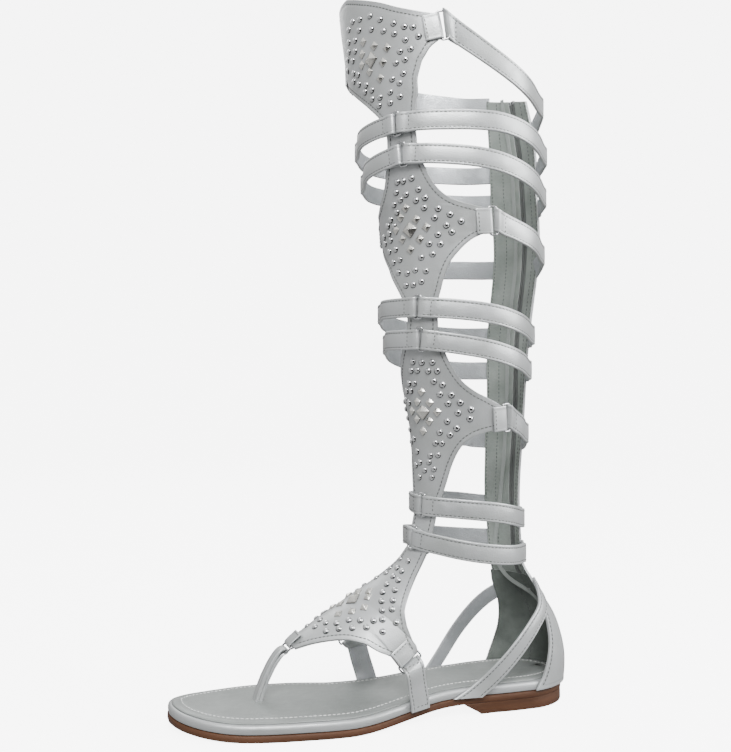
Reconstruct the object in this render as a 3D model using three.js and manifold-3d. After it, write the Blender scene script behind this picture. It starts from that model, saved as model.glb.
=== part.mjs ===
// Knee-high gladiator sandal for the left foot, with a flat sole.
// Millimetres. +Z is up, +X points to the toe, +Y to the outer side of the foot.
// The origin is the middle of the heel's flat underside.
import * as THREE from 'three';
import Module from 'manifold-3d';

const wasm = await Module();
wasm.setup();

// Driving dimensions
const LEATHER = 1.8; // wall of the panels and straps
const GAP = 0.3; // between pieces that lie against each other
const STRAP_WIDTH = 10.6;
const WING_STRAP_WIDTH = 11.4;
const HEEL_STRAP_WIDTH = 8;
const TAB_WIDTH = 10;
const WIRE = 0.75; // radius of the ring wire
const LOOP = WIRE + GAP + 1.1; // radius of the folded leather round a ring's bar
const RING_WIDTH = 4.8; // between the middles of a ring's two bars
const FOLD_LIMIT = 0.98; // radians that the shin piece folds round on the inner side
const OUTSOLE = 4;
const PLATFORM = 5;
const INSOLE = 1.6;
const HEEL_HEIGHT = 7;
const HEEL_BREAST = { top: 46, foot: 35 };
const ZIP_SLOT = 5;
const ZIP_TOP = 386;
const ZIP_FOOT = 64;

// Sole outline: half widths to the outer and the inner side of the centre line, at stations along it.
const OUTLINE = [
  { x: -30, outer: 2.6, inner: 2.6 },
  { x: -29, outer: 6.4, inner: 6.4 },
  { x: -26, outer: 12.4, inner: 12.4 },
  { x: -20, outer: 18.8, inner: 18.8 },
  { x: -10, outer: 24.3, inner: 24.3 },
  { x: 2, outer: 27.2, inner: 26.8 },
  { x: 20, outer: 27.6, inner: 26.2 },
  { x: 38, outer: 27, inner: 23.4 },
  { x: 56, outer: 28, inner: 21 },
  { x: 75, outer: 31.6, inner: 21.6 },
  { x: 92, outer: 36, inner: 25 },
  { x: 108, outer: 39.4, inner: 30.4 },
  { x: 124, outer: 40.2, inner: 36 },
  { x: 140, outer: 38.9, inner: 40 },
  { x: 156, outer: 36.8, inner: 41.8 },
  { x: 172, outer: 33.6, inner: 41.4 },
  { x: 186, outer: 29, inner: 38 },
  { x: 198, outer: 22.2, inner: 32.6 },
  { x: 207, outer: 13.4, inner: 26.6 },
  { x: 212, outer: 5, inner: 21.4 },
  { x: 214.4, outer: -3, inner: 17 },
  { x: 215, outer: -7, inner: 13 },
];

// Height of the outsole's underside: level on the heel, lifted in the waist, level again at the ball.
const UNDERSIDE = [
  { x: -30, z: HEEL_HEIGHT },
  { x: 40, z: HEEL_HEIGHT },
  { x: 62, z: 6.3 },
  { x: 84, z: 3.6 },
  { x: 104, z: 1.1 },
  { x: 120, z: 0 },
  { x: 170, z: 0 },
  { x: 190, z: 0.7 },
  { x: 215, z: 3.4 },
];

// The foot and leg that the straps go round, level by level: rearmost point, half depth, half width.
const LEG = [
  { z: 10, back: -30.3, depth: 38.6, width: 27.8 },
  { z: 17, back: -30.8, depth: 39, width: 28 },
  { z: 22, back: -31, depth: 40, width: 28.6 },
  { z: 30, back: -30.6, depth: 41, width: 29.4 },
  { z: 40, back: -28.4, depth: 42, width: 30 },
  { z: 51, back: -24.4, depth: 42.6, width: 30.8 },
  { z: 60, back: -19, depth: 41, width: 31.8 },
  { z: 70, back: -11.4, depth: 39.6, width: 33.2 },
  { z: 84, back: -4.8, depth: 38.4, width: 36 },
  { z: 98, back: -4, depth: 38, width: 38 },
  { z: 123, back: -3.2, depth: 35.6, width: 35.6 },
  { z: 171, back: -6, depth: 39, width: 39 },
  { z: 214, back: -8, depth: 46, width: 46 },
  { z: 235, back: -10, depth: 49.4, width: 49.4 },
  { z: 283, back: -16, depth: 53.5, width: 53.5 },
  { z: 326, back: -16.4, depth: 58.6, width: 58.6 },
  { z: 345, back: -16.3, depth: 60.2, width: 60.2 },
  { z: 396, back: -10.5, depth: 60.5, width: 60.5 },
  { z: 432, back: -8.5, depth: 60.5, width: 60.5 },
];

// The shin piece: direction that its middle faces (degrees from the toe to the outer side), how far it
// reaches round the leg to the inner and outer side, and the radius that it folds to over the shin bone
// on the inner side. Three winged panels joined by narrow necks.
const SHIN = [
  { z: 96, faces: 19, inner: 9.5, outer: 9.5, fold: 36 },
  { z: 110, faces: 21, inner: 9.2, outer: 9.2, fold: 36 },
  { z: 124, faces: 23, inner: 9.5, outer: 9.5, fold: 36 },
  { z: 132, faces: 24.5, inner: 12, outer: 12, fold: 33 },
  { z: 140, faces: 26, inner: 14, outer: 14, fold: 30 },
  { z: 148, faces: 27.5, inner: 16, outer: 16, fold: 27 },
  { z: 155, faces: 28.5, inner: 18.8, outer: 18.8, fold: 24 },
  { z: 160, faces: 29, inner: 22, outer: 22, fold: 24 },
  { z: 164, faces: 29.5, inner: 26, outer: 26, fold: 24 },
  { z: 167.4, faces: 30, inner: 32, outer: 32, fold: 24 },
  { z: 169.6, faces: 30.3, inner: 40, outer: 40, fold: 24 },
  { z: 171, faces: 30.5, inner: 47.5, outer: 47.5, fold: 24 },
  { z: 183, faces: 31, inner: 47.5, outer: 47.5, fold: 24 },
  { z: 188.6, faces: 31.8, inner: 35, outer: 39.5, fold: 24 },
  { z: 192.2, faces: 32.3, inner: 28.4, outer: 33, fold: 24 },
  { z: 198, faces: 33.4, inner: 21.6, outer: 26.2, fold: 24 },
  { z: 206.6, faces: 35.4, inner: 16, outer: 20.5, fold: 27 },
  { z: 216.4, faces: 38.4, inner: 12.4, outer: 15.4, fold: 34 },
  { z: 225, faces: 41.4, inner: 10, outer: 11.2, fold: 42 },
  { z: 234, faces: 44, inner: 9.4, outer: 9.4, fold: 49 },
  { z: 243, faces: 43, inner: 10.2, outer: 10.2, fold: 49 },
  { z: 251, faces: 41.4, inner: 13.6, outer: 13.6, fold: 46 },
  { z: 259.4, faces: 39, inner: 17.8, outer: 17.8, fold: 42 },
  { z: 266.7, faces: 37.5, inner: 22.2, outer: 22.2, fold: 36 },
  { z: 273.5, faces: 36.3, inner: 28.8, outer: 28.8, fold: 36 },
  { z: 279, faces: 35.5, inner: 35.8, outer: 35.8, fold: 36 },
  { z: 282, faces: 35.2, inner: 42, outer: 42, fold: 36 },
  { z: 284, faces: 35, inner: 48, outer: 48, fold: 36 },
  { z: 296.4, faces: 34.7, inner: 48, outer: 48, fold: 36 },
  { z: 298.4, faces: 34.7, inner: 38, outer: 41, fold: 36 },
  { z: 300.4, faces: 34.8, inner: 28, outer: 33.4, fold: 36 },
  { z: 303, faces: 35.2, inner: 22.6, outer: 27.4, fold: 38 },
  { z: 307, faces: 35.7, inner: 18, outer: 22.4, fold: 38 },
  { z: 313.2, faces: 36.4, inner: 13.6, outer: 18, fold: 41 },
  { z: 321.8, faces: 37.6, inner: 10.8, outer: 14, fold: 47 },
  { z: 330, faces: 39, inner: 9.6, outer: 10.4, fold: 54 },
  { z: 340, faces: 40, inner: 9.4, outer: 9.4, fold: 58 },
  { z: 350, faces: 38.4, inner: 11, outer: 12.4, fold: 58 },
  { z: 358, faces: 36, inner: 16, outer: 16.4, fold: 54 },
  { z: 363, faces: 34.4, inner: 20.4, outer: 19.4, fold: 48 },
  { z: 370, faces: 31.4, inner: 27, outer: 23.2, fold: 48 },
  { z: 376, faces: 29, inner: 34.4, outer: 28, fold: 48 },
  { z: 379.6, faces: 27.6, inner: 40.5, outer: 31, fold: 48 },
  { z: 382, faces: 26.8, inner: 48, outer: 33.6, fold: 48 },
  { z: 387, faces: 25, inner: 48, outer: 39.4, fold: 48 },
  { z: 392, faces: 23.2, inner: 48, outer: 47.8, fold: 48 },
  { z: 395.4, faces: 22, inner: 48, outer: 48.8, fold: 48 },
  { z: 398, faces: 21, inner: 45, outer: 49.6, fold: 48 },
  { z: 404.4, faces: 18.4, inner: 43, outer: 52, fold: 48 },
  { z: 406.8, faces: 17.2, inner: 42, outer: 44, fold: 48 },
  { z: 411, faces: 14.6, inner: 40, outer: 34, fold: 48 },
  { z: 416, faces: 11.4, inner: 37, outer: 26.4, fold: 48 },
  { z: 420, faces: 9, inner: 34, outer: 19, fold: 48 },
  { z: 424, faces: 6.6, inner: 29, outer: 11, fold: 48 },
  { z: 427.6, faces: 5, inner: 20, outer: 3, fold: 48 },
];

// The vamp, from the ankle to the toes: its crest, the sideways direction there (yaw), how far it reaches
// to both sides, and the half widths and depth of the instep that it bends over.
const VAMP = [
  { x: 69.9, y: 13, z: 99, yaw: 19, inner: 9.4, outer: 9.4, wideIn: 38, wideOut: 38, deep: 38 },
  { x: 74.4, y: 9.4, z: 90.4, yaw: 18, inner: 11.4, outer: 11.4, wideIn: 37, wideOut: 38, deep: 40 },
  { x: 81, y: 5.6, z: 83.4, yaw: 17, inner: 14, outer: 16.4, wideIn: 36, wideOut: 39, deep: 42 },
  { x: 89, y: 1.6, z: 77, yaw: 15.5, inner: 18.4, outer: 24, wideIn: 35, wideOut: 40, deep: 45 },
  { x: 96, y: -1.6, z: 72.2, yaw: 14, inner: 24.4, outer: 32.4, wideIn: 34, wideOut: 41, deep: 48 },
  { x: 100.4, y: -3.6, z: 69.2, yaw: 13.4, inner: 32, outer: 41, wideIn: 33, wideOut: 41.6, deep: 50 },
  { x: 103, y: -4.8, z: 67.4, yaw: 13, inner: 41, outer: 49, wideIn: 32.6, wideOut: 42, deep: 51 },
  { x: 104.4, y: -5.2, z: 66.4, yaw: 13, inner: 50, outer: 55, wideIn: 32.4, wideOut: 42, deep: 52 },
  { x: 113, y: -6.6, z: 60.8, yaw: 12, inner: 50, outer: 55, wideIn: 32, wideOut: 42, deep: 52 },
  { x: 115, y: -6.8, z: 59.4, yaw: 11.6, inner: 38, outer: 43, wideIn: 31.6, wideOut: 41, deep: 50 },
  { x: 118, y: -7, z: 57.4, yaw: 11, inner: 29.6, outer: 34, wideIn: 31, wideOut: 39.4, deep: 46 },
  { x: 123, y: -7.4, z: 54, yaw: 10, inner: 22.6, outer: 25.4, wideIn: 30, wideOut: 36, deep: 41 },
  { x: 129, y: -7.8, z: 49.9, yaw: 8, inner: 16.4, outer: 17.6, wideIn: 28, wideOut: 32, deep: 36 },
  { x: 136, y: -8, z: 45.4, yaw: 6, inner: 10.6, outer: 11, wideIn: 26, wideOut: 28, deep: 30 },
  { x: 143.4, y: -8, z: 41, yaw: 5, inner: 6.4, outer: 6.4, wideIn: 24, wideOut: 24, deep: 26 },
];

// The pair of straps at each neck, which meet on a ring: where the ring faces, and the straps' height at
// the ring, at the outer side, outer back, inner back, inner side and inner front of the leg.
const NECK_STRAPS = [
  { name: 'ankle', faces: 16, ring: 105, outer: 97, outerBack: 93.6, innerBack: 96.6, inner: 97.4, innerFront: 104 },
  { name: 'low', faces: 23.5, ring: 124.6, outer: 121.4, outerBack: 115, innerBack: 119, inner: 121, innerFront: 124.6 },
  { name: 'middle_low', faces: 42.6, ring: 222.6, outer: 216.6, outerBack: 206.4, innerBack: 207, inner: 208.4, innerFront: 222 },
  { name: 'middle_high', faces: 42.4, ring: 241.2, outer: 237.4, outerBack: 228, innerBack: 230, inner: 231.4, innerFront: 241 },
  { name: 'high_low', faces: 40.6, ring: 328.2, outer: 324.4, outerBack: 312.6, innerBack: 321.4, inner: 323.6, innerFront: 322.4 },
  { name: 'high', faces: 39, ring: 345.6, outer: 346, outerBack: 337.6, innerBack: 341, inner: 343, innerFront: 342.4 },
];
const STRAP_TURN = { outer: 90, outerBack: 145, innerBack: 222, inner: 262, innerFront: 345 };

// The straps from the wings of each shin panel round to the back: how far round the shin piece the ring is,
// its height, then the strap's turn and height on the side and where it meets the back strip.
const WING_STRAPS = [
  { name: 'low_outer', reach: 50.6, z: 177, side: 130, sideZ: 170.6, end: 186, endZ: 161.4 },
  { name: 'low_inner', reach: -50.6, z: 177, side: 262, sideZ: 164, end: 226, endZ: 161.6 },
  { name: 'middle_outer', reach: 50.6, z: 290.2, side: 124, sideZ: 281.8, end: 187, endZ: 270 },
  { name: 'middle_inner', reach: -50.6, z: 290.2, side: 268, sideZ: 277, end: 218, endZ: 275 },
  { name: 'high_outer', reach: 51.6, z: 398.6, side: 116, sideZ: 373, end: 187, endZ: 361 },
  { name: 'high_inner', reach: -50.6, z: 389.6, side: 264, sideZ: 394, end: 217, endZ: 387 },
];

// The back strip that holds the zip: the turns of its inner edge, the zip and its outer edge.
const BACK = [
  { z: 66, inner: 229, zip: 189, outer: 160 },
  { z: 76, inner: 226, zip: 191, outer: 171 },
  { z: 86, inner: 222, zip: 191.4, outer: 178 },
  { z: 100, inner: 223, zip: 191.6, outer: 180 },
  { z: 124, inner: 227, zip: 192.4, outer: 180.6 },
  { z: 155, inner: 227.4, zip: 193, outer: 180.4 },
  { z: 190, inner: 224, zip: 192, outer: 178.6 },
  { z: 230, inner: 221.6, zip: 192.4, outer: 176.4 },
  { z: 280, inner: 220.6, zip: 193, outer: 175.8 },
  { z: 330, inner: 220.4, zip: 195, outer: 180 },
  { z: 360, inner: 219, zip: 196.6, outer: 181 },
  { z: 389, inner: 217, zip: 198, outer: 186 },
];

// The heel counter: the turns of its outer and inner front edges, from the sole to the back strip.
const COUNTER = [
  { z: 11.3, inner: 270, outer: 104 },
  { z: 15, inner: 268, outer: 107 },
  { z: 20, inner: 264, outer: 112 },
  { z: 30, inner: 256, outer: 119 },
  { z: 40, inner: 248, outer: 126 },
  { z: 50, inner: 242, outer: 131 },
  { z: 60, inner: 237, outer: 137 },
  { z: 68, inner: 232.6, outer: 152 },
  { z: 76, inner: 227, outer: 170 },
];

// Routes of the heel straps and side tabs, from the edge of the platform upwards.
const HEEL_STRAP_OUTER = [
  { x: 42.6, y: 28.4, z: 11.4 },
  { x: 40.4, y: 28.8, z: 15 },
  { x: 32, y: 32, z: 24 },
  { x: 19.4, y: 34.8, z: 38.8 },
  { x: 6.6, y: 32, z: 52 },
  { x: -5, y: 25, z: 60 },
  { x: -12.6, y: 16.4, z: 64.4 },
];
const HEEL_STRAP_INNER = [
  { x: 43.4, y: -23.8, z: 11.4 },
  { x: 41.4, y: -24.8, z: 15 },
  { x: 34, y: -29, z: 23 },
  { x: 22, y: -32.4, z: 38 },
  { x: 10, y: -32, z: 52.6 },
  { x: -1, y: -27.6, z: 65 },
  { x: -8, y: -22.6, z: 72.4 },
];
const TAB_OUTER = [
  { x: 76.6, y: 32.8, z: 9.2 },
  { x: 77, y: 32.9, z: 13.4 },
  { x: 79, y: 34, z: 23 },
  { x: 81, y: 35.2, z: 33.4 },
];
const TAB_INNER = [
  { x: 89.4, y: -25.2, z: 7.8 },
  { x: 90, y: -25.9, z: 12.4 },
  { x: 92, y: -31.4, z: 23 },
  { x: 94, y: -35.4, z: 32.6 },
];
const TOE_POST = [
  { x: 163.5, z: 10.4 },
  { x: 162.4, z: 14 },
  { x: 159, z: 23 },
  { x: 154, z: 32.4 },
  { x: 149.4, z: 38 },
];
const TOE_POST_Y = -7.6;
const TOE_POST_WIDTH = 7.6;

// Value of one column of a table at a place between its rows, on a smooth curve through them that turns
// back only at a row.
function at(rows, key, place, column) {
  const last = rows.length - 1;
  const p = THREE.MathUtils.clamp(place, rows[0][key], rows[last][key]);
  let i = 0;
  while (i < last - 1 && rows[i + 1][key] < p) i += 1;
  const slope = (j) => {
    const before = rows[Math.max(j - 1, 0)];
    const after = rows[Math.min(j + 1, last)];
    const here = rows[j][column];
    if (j > 0 && j < last && (after[column] - here) * (here - before[column]) <= 0) return 0;
    return (after[column] - before[column]) / (after[key] - before[key]);
  };
  const span = rows[i + 1][key] - rows[i][key];
  const s = (p - rows[i][key]) / span;
  const rise = s * s * (3 - 2 * s);
  return rows[i][column] * (1 - rise) + rows[i + 1][column] * rise
    + span * s * (1 - s) * ((1 - s) * slope(i) - s * slope(i + 1));
}

// A table's rows as a smooth curve in space.
function route(rows) {
  return new THREE.CatmullRomCurve3(rows.map((row) => new THREE.Vector3(row.x, row.y, row.z)));
}

// Solid from a closed triangle mesh, turned inside out where its faces point in.
function solid(positions, triangles) {
  const build = (triVerts) => new wasm.Manifold(new wasm.Mesh({
    numProp: 3,
    vertProperties: new Float32Array(positions),
    triVerts: new Uint32Array(triVerts),
  }));
  const made = build(triangles);
  if (made.volume() > 0) return made;
  return build(triangles.slice().reverse());
}

// Closed sheet: place(u, v, side) gives its points, u and v from 0 to 1, side 0 inside and 1 outside.
function sheet(rows, columns, place) {
  const positions = [];
  const triangles = [];
  const stride = columns + 1;
  const layer = (rows + 1) * stride;
  for (const side of [0, 1]) {
    for (let i = 0; i <= rows; i += 1) {
      for (let j = 0; j < stride; j += 1) positions.push(...place(i / rows, j / columns, side).toArray());
    }
  }
  const quad = (a, b, c, d) => triangles.push(a, b, c, a, c, d);
  for (let i = 0; i < rows; i += 1) {
    for (let j = 0; j < columns; j += 1) {
      const a = i * stride + j;
      quad(a, a + stride, a + stride + 1, a + 1);
      quad(layer + a, layer + a + 1, layer + a + stride + 1, layer + a + stride);
    }
  }
  const rim = [];
  for (let j = 0; j < columns; j += 1) rim.push(j);
  for (let i = 0; i < rows; i += 1) rim.push(i * stride + columns);
  for (let j = columns; j > 0; j -= 1) rim.push(rows * stride + j);
  for (let i = rows; i > 0; i -= 1) rim.push(i * stride);
  rim.forEach((a, k) => {
    const b = rim[(k + 1) % rim.length];
    quad(a, b, b + layer, a + layer);
  });
  return solid(positions, triangles);
}

// Point of the leg at a height and turn, moved out from its surface.
function onLeg(turn, z, out) {
  const angle = THREE.MathUtils.degToRad(turn);
  const depth = at(LEG, 'z', z, 'depth');
  const width = at(LEG, 'z', z, 'width');
  const centre = at(LEG, 'z', z, 'back') + depth;
  const normal = new THREE.Vector3(Math.cos(angle) / depth, Math.sin(angle) / width, 0).normalize();
  return new THREE.Vector3(centre + depth * Math.cos(angle), width * Math.sin(angle), z)
    .addScaledVector(normal, out);
}

// How many degrees of turn a length round the leg covers at a height.
function turnFor(length, z) {
  return THREE.MathUtils.radToDeg(length / at(LEG, 'z', z, 'depth'));
}

// Point of the shin piece at a height and a reach round from its middle, negative to the inner side.
function onShin(reach, z, out) {
  const faces = at(SHIN, 'z', z, 'faces');
  if (reach >= 0) return onLeg(faces + turnFor(reach, z), z, out);
  const fold = at(SHIN, 'z', z, 'fold');
  const crest = onLeg(faces, z, 0);
  const ahead = onLeg(faces, z, 1).sub(crest);
  const aside = new THREE.Vector3(-ahead.y, ahead.x, 0);
  const bend = Math.max(reach / fold, -FOLD_LIMIT);
  const straight = reach - bend * fold;
  return crest
    .addScaledVector(ahead, (fold + out) * Math.cos(bend) - fold - straight * Math.sin(bend))
    .addScaledVector(aside, (fold + out) * Math.sin(bend) + straight * Math.cos(bend));
}

// Axes of a ring: its bars stand up and down the surface that place(z, out) follows, and it faces out.
function uprightRing(place, z, out) {
  const centre = place(z, out);
  const normal = place(z, out + 1).sub(centre);
  const bar = place(z + 1, out).sub(place(z - 1, out)).normalize();
  normal.addScaledVector(bar, -normal.dot(bar)).normalize();
  const across = new THREE.Vector3().crossVectors(bar, normal);
  return { centre, bar, normal, across };
}

// Rounded oblong round the middle of a ring, as a closed tube of the given radius. The corners are bent
// in the given steps of a quarter turn.
function oblong(radius, height, sides, steps) {
  const corner = 1;
  const halfWidth = RING_WIDTH / 2 - corner;
  const halfHeight = height / 2 - corner;
  const positions = [];
  const triangles = [];
  const stations = [];
  const corners = [[1, 1], [-1, 1], [-1, -1], [1, -1]];
  corners.forEach(([right, up], quarter) => {
    for (const step of steps) {
      const turn = (quarter + step) * Math.PI / 2;
      const out = new THREE.Vector2(Math.cos(turn), Math.sin(turn));
      stations.push({ x: right * halfWidth + corner * out.x, y: up * halfHeight + corner * out.y, out });
    }
  });
  stations.forEach((station, i) => {
    for (let k = 0; k < sides; k += 1) {
      const turn = (k + 0.5) / sides * 2 * Math.PI;
      const reach = radius * Math.cos(turn);
      positions.push(station.x + station.out.x * reach, station.y + station.out.y * reach,
        radius * Math.sin(turn));
      const next = (i + 1) % stations.length;
      const a = i * sides + k;
      const b = i * sides + (k + 1) % sides;
      const c = next * sides + (k + 1) % sides;
      const d = next * sides + k;
      triangles.push(a, b, c, a, c, d);
    }
  });
  return solid(positions, triangles);
}

// A ring's wire, and the square tunnel that holds it in the leather.
function wire(height) {
  return oblong(WIRE, height, 6, [0, 0.5, 1]);
}
function tunnel(height) {
  return oblong((WIRE + GAP) * Math.SQRT2, height, 4, [0, 0.5, 1]);
}

// Moves a solid made round the origin (x across, y along the bars, z facing out) to a ring's place.
function placed(made, ring) {
  const basis = new THREE.Matrix4().makeBasis(ring.across, ring.bar, ring.normal).setPosition(ring.centre);
  return made.transform(basis.elements);
}

// Folded leather round one bar of a ring: side 1 is the bar that `across` points to, -1 the other.
function loop(ring, side, width) {
  const barrel = new THREE.CylinderGeometry(LOOP, LOOP, width, 6);
  barrel.translate(side * RING_WIDTH / 2, 0, 0);
  return placed(fromGeometry(barrel), ring);
}

// Solid from a three.js geometry.
function fromGeometry(geometry) {
  const position = geometry.getAttribute('position');
  const places = new Map();
  const positions = [];
  const merged = [];
  for (let i = 0; i < position.count; i += 1) {
    const point = [position.getX(i), position.getY(i), position.getZ(i)];
    const key = point.map((value) => Math.round(value * 1e4)).join();
    if (!places.has(key)) {
      places.set(key, positions.length / 3);
      positions.push(...point);
    }
    merged.push(places.get(key));
  }
  const index = geometry.index ? Array.from(geometry.index.array) : merged.map((_, i) => i);
  const corners = index.map((i) => merged[i]);
  const triangles = [];
  for (let i = 0; i < corners.length; i += 3) {
    const [a, b, c] = corners.slice(i, i + 3);
    if (a !== b && b !== c && a !== c) triangles.push(a, b, c);
  }
  return solid(positions, triangles);
}

// Strap round the leg between two turns, at heights from a table of turns, lifted out of the surface.
function legStrap(rows, from, to, width, lift, steps) {
  return sheet(steps, 1, (u, v, side) => {
    const turn = THREE.MathUtils.lerp(from, to, u);
    const z = at(rows, 'turn', turn, 'z') + (v - 0.5) * width;
    return onLeg(turn, z, lift(turn) + side * LEATHER);
  });
}

// Strap along a route in space, lying flat against the foot whose middle is at `core`.
function ribbon(rows, core, width, steps) {
  const curve = route(rows);
  return sheet(steps, 1, (u, v, side) => {
    const point = curve.getPoint(u);
    const forward = curve.getTangent(u);
    const outward = point.clone().sub(core(point));
    outward.addScaledVector(forward, -outward.dot(forward)).normalize();
    const across = new THREE.Vector3().crossVectors(outward, forward);
    return point.addScaledVector(across, (v - 0.5) * width).addScaledVector(outward, side * LEATHER);
  });
}

// Middle of the leg at a point's height, from which its straps face out.
function legCore(point) {
  return new THREE.Vector3(at(LEG, 'z', point.z, 'back') + at(LEG, 'z', point.z, 'depth'), 0, point.z);
}

// Layer of the sole between two heights above the outsole's underside, set in from the outline.
function soleLayer(low, high, inset, edge) {
  const rows = OUTLINE.length - 1;
  const back = OUTLINE[0].x;
  const front = OUTLINE[rows].x;
  return sheet(rows, 4, (u, v, side) => {
    const station = OUTLINE[Math.round(u * rows)];
    const shrink = inset + side * edge;
    const x = THREE.MathUtils.mapLinear(station.x, back, front, back + shrink, front - shrink);
    const middle = (station.outer - station.inner) / 2;
    const half = Math.max((station.outer + station.inner) / 2 - shrink, 1.5);
    const y = middle + (2 * v - 1) * half;
    const z = at(UNDERSIDE, 'x', x, 'z') + (side ? high : low);
    return new THREE.Vector3(x, y, z);
  });
}

// Point of the vamp: u along its crest and s from its inner edge (-1) to its outer edge (1).
const vampCrest = route(VAMP);
function onVamp(u, s, out) {
  const rows = VAMP.map((row, i) => ({ ...row, u: i / (VAMP.length - 1) }));
  const value = (column) => at(rows, 'u', u, column);
  const yaw = THREE.MathUtils.degToRad(value('yaw'));
  const sideways = new THREE.Vector3(-Math.sin(yaw), Math.cos(yaw), 0);
  const forward = vampCrest.getPoint(Math.min(u + 0.01, 1)).sub(vampCrest.getPoint(Math.max(u - 0.01, 0)));
  forward.addScaledVector(sideways, -forward.dot(sideways)).normalize();
  const up = new THREE.Vector3().crossVectors(forward, sideways);
  const wide = s < 0 ? value('wideIn') : value('wideOut');
  const deep = value('deep');
  const reach = s < 0 ? value('inner') : value('outer');
  const angle = s * reach / Math.hypot(wide, deep) * Math.SQRT2;
  const point = vampCrest.getPoint(u);
  point.addScaledVector(sideways, wide * Math.sin(angle));
  point.addScaledVector(up, -deep * (1 - Math.cos(angle)));
  const normal = new THREE.Vector3().addScaledVector(sideways, Math.sin(angle) / wide)
    .addScaledVector(up, Math.cos(angle) / deep).normalize();
  return point.addScaledVector(normal, out);
}

// Axes of a ring at the vamp's side: its bars run along the foot, `across` points down the side.
function ringOnVamp(u, s) {
  const edge = onVamp(u, s, LEATHER / 2);
  const normal = onVamp(u, s, 1).sub(onVamp(u, s, 0)).normalize();
  const across = edge.clone().sub(onVamp(u, s * 0.96, LEATHER / 2)).normalize();
  across.addScaledVector(normal, -across.dot(normal)).normalize();
  const bar = new THREE.Vector3().crossVectors(normal, across);
  return { centre: edge.addScaledVector(across, RING_WIDTH / 2), bar, normal, across };
}

// The finished pieces
const sandal = new THREE.Group();

function add(name, made, colour, roughness, metalness) {
  const { numProp, vertProperties, triVerts } = made.getMesh();
  if (numProp !== 3) throw new Error(`${name} has more than positions`);
  const geometry = new THREE.BufferGeometry();
  geometry.setAttribute('position', new THREE.BufferAttribute(new Float32Array(vertProperties), 3));
  geometry.setIndex(new THREE.BufferAttribute(new Uint32Array(triVerts), 1));
  geometry.computeVertexNormals();
  const material = new THREE.MeshStandardMaterial({ color: colour, roughness, metalness });
  const mesh = new THREE.Mesh(geometry, material);
  mesh.name = name;
  sandal.add(mesh);
}

const SILVER = 0xb2b5b4;
const CHROME = 0xc4c6c8;
const BROWN = 0x62442f;
const GREY = 0xa2a7a4;
const union = (pieces) => pieces.reduce((whole, piece) => whole.add(piece));

// Sole
const platformFoot = OUTSOLE + GAP;
const insoleFoot = platformFoot + PLATFORM + GAP;
const outsole = soleLayer(0, OUTSOLE, 0, 0);
const platform = soleLayer(platformFoot, platformFoot + PLATFORM, 0.4, 0.6);
const insole = soleLayer(insoleFoot, insoleFoot + INSOLE, 3, 0.4);

const heelRows = OUTLINE.filter((row) => row.x <= HEEL_BREAST.foot);
const heel = sheet(heelRows.length, 4, (u, v, side) => {
  const i = Math.round(u * heelRows.length);
  const breast = side ? HEEL_BREAST.top : HEEL_BREAST.foot;
  const x = i < heelRows.length ? heelRows[i].x + 0.6 : breast;
  const inset = side ? 0.5 : 1.2;
  const outer = at(OUTLINE, 'x', x, 'outer') - inset;
  const inner = at(OUTLINE, 'x', x, 'inner') - inset;
  const z = side ? HEEL_HEIGHT - GAP : 0;
  return new THREE.Vector3(x, THREE.MathUtils.lerp(-inner, outer, v), z);
});

// Rings of the leg straps, and the leather that holds them
const rings = [];
const leather = [];

const shin = sheet(SHIN.length - 1, 6, (u, v, side) => {
  const row = SHIN[Math.round(u * (SHIN.length - 1))];
  const s = 2 * v - 1;
  return onShin(s * (s < 0 ? row.inner : row.outer), row.z, side * LEATHER);
});
leather.push(shin);

for (const strap of NECK_STRAPS) {
  const crossing = 1.4;
  const ring = uprightRing((z, out) => onLeg(strap.faces, z, out), strap.ring, LEATHER / 2 + crossing + 1.2);
  const outerStart = strap.faces + turnFor(RING_WIDTH / 2, strap.ring);
  const innerStart = strap.faces - turnFor(RING_WIDTH / 2, strap.ring) + 360;
  const outerRows = [
    { turn: strap.faces, z: strap.ring },
    { turn: STRAP_TURN.outer, z: strap.outer },
    { turn: STRAP_TURN.outerBack, z: strap.outerBack },
    { turn: 190, z: strap.outerBack - 1.5 },
  ];
  const innerRows = [
    { turn: STRAP_TURN.innerBack - 8, z: strap.innerBack },
    { turn: STRAP_TURN.innerBack, z: strap.innerBack },
    { turn: STRAP_TURN.inner, z: strap.inner },
    { turn: STRAP_TURN.innerFront, z: strap.innerFront },
    { turn: strap.faces + 360, z: strap.ring },
  ];
  const backOuter = at(BACK, 'z', strap.outerBack, 'outer');
  const backInner = at(BACK, 'z', strap.innerBack, 'inner');
  const fade = 12;
  const nearEnd = (turn, end) => THREE.MathUtils.smoothstep(fade - Math.abs(turn - end), 0, fade * 0.7);
  const outerLift = (turn) => crossing * nearEnd(turn, backOuter + 4)
    + (crossing + 1.2) * THREE.MathUtils.smoothstep(outerStart + 30 - turn, 0, 24);
  const innerLift = (turn) => crossing * nearEnd(turn, backInner - 4)
    + (crossing + 1.2) * THREE.MathUtils.smoothstep(turn - innerStart + 50, 0, 26);
  leather.push(legStrap(outerRows, outerStart, backOuter + 5, STRAP_WIDTH, outerLift, 11));
  leather.push(legStrap(innerRows, backInner - 5, innerStart, STRAP_WIDTH, innerLift, 15));
  leather.push(loop(ring, 1, STRAP_WIDTH - 0.6));
  leather.push(loop(ring, -1, STRAP_WIDTH + 0.8));
  rings.push({ name: `ring_${strap.name}`, ring, height: STRAP_WIDTH + 2 });
}

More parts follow.
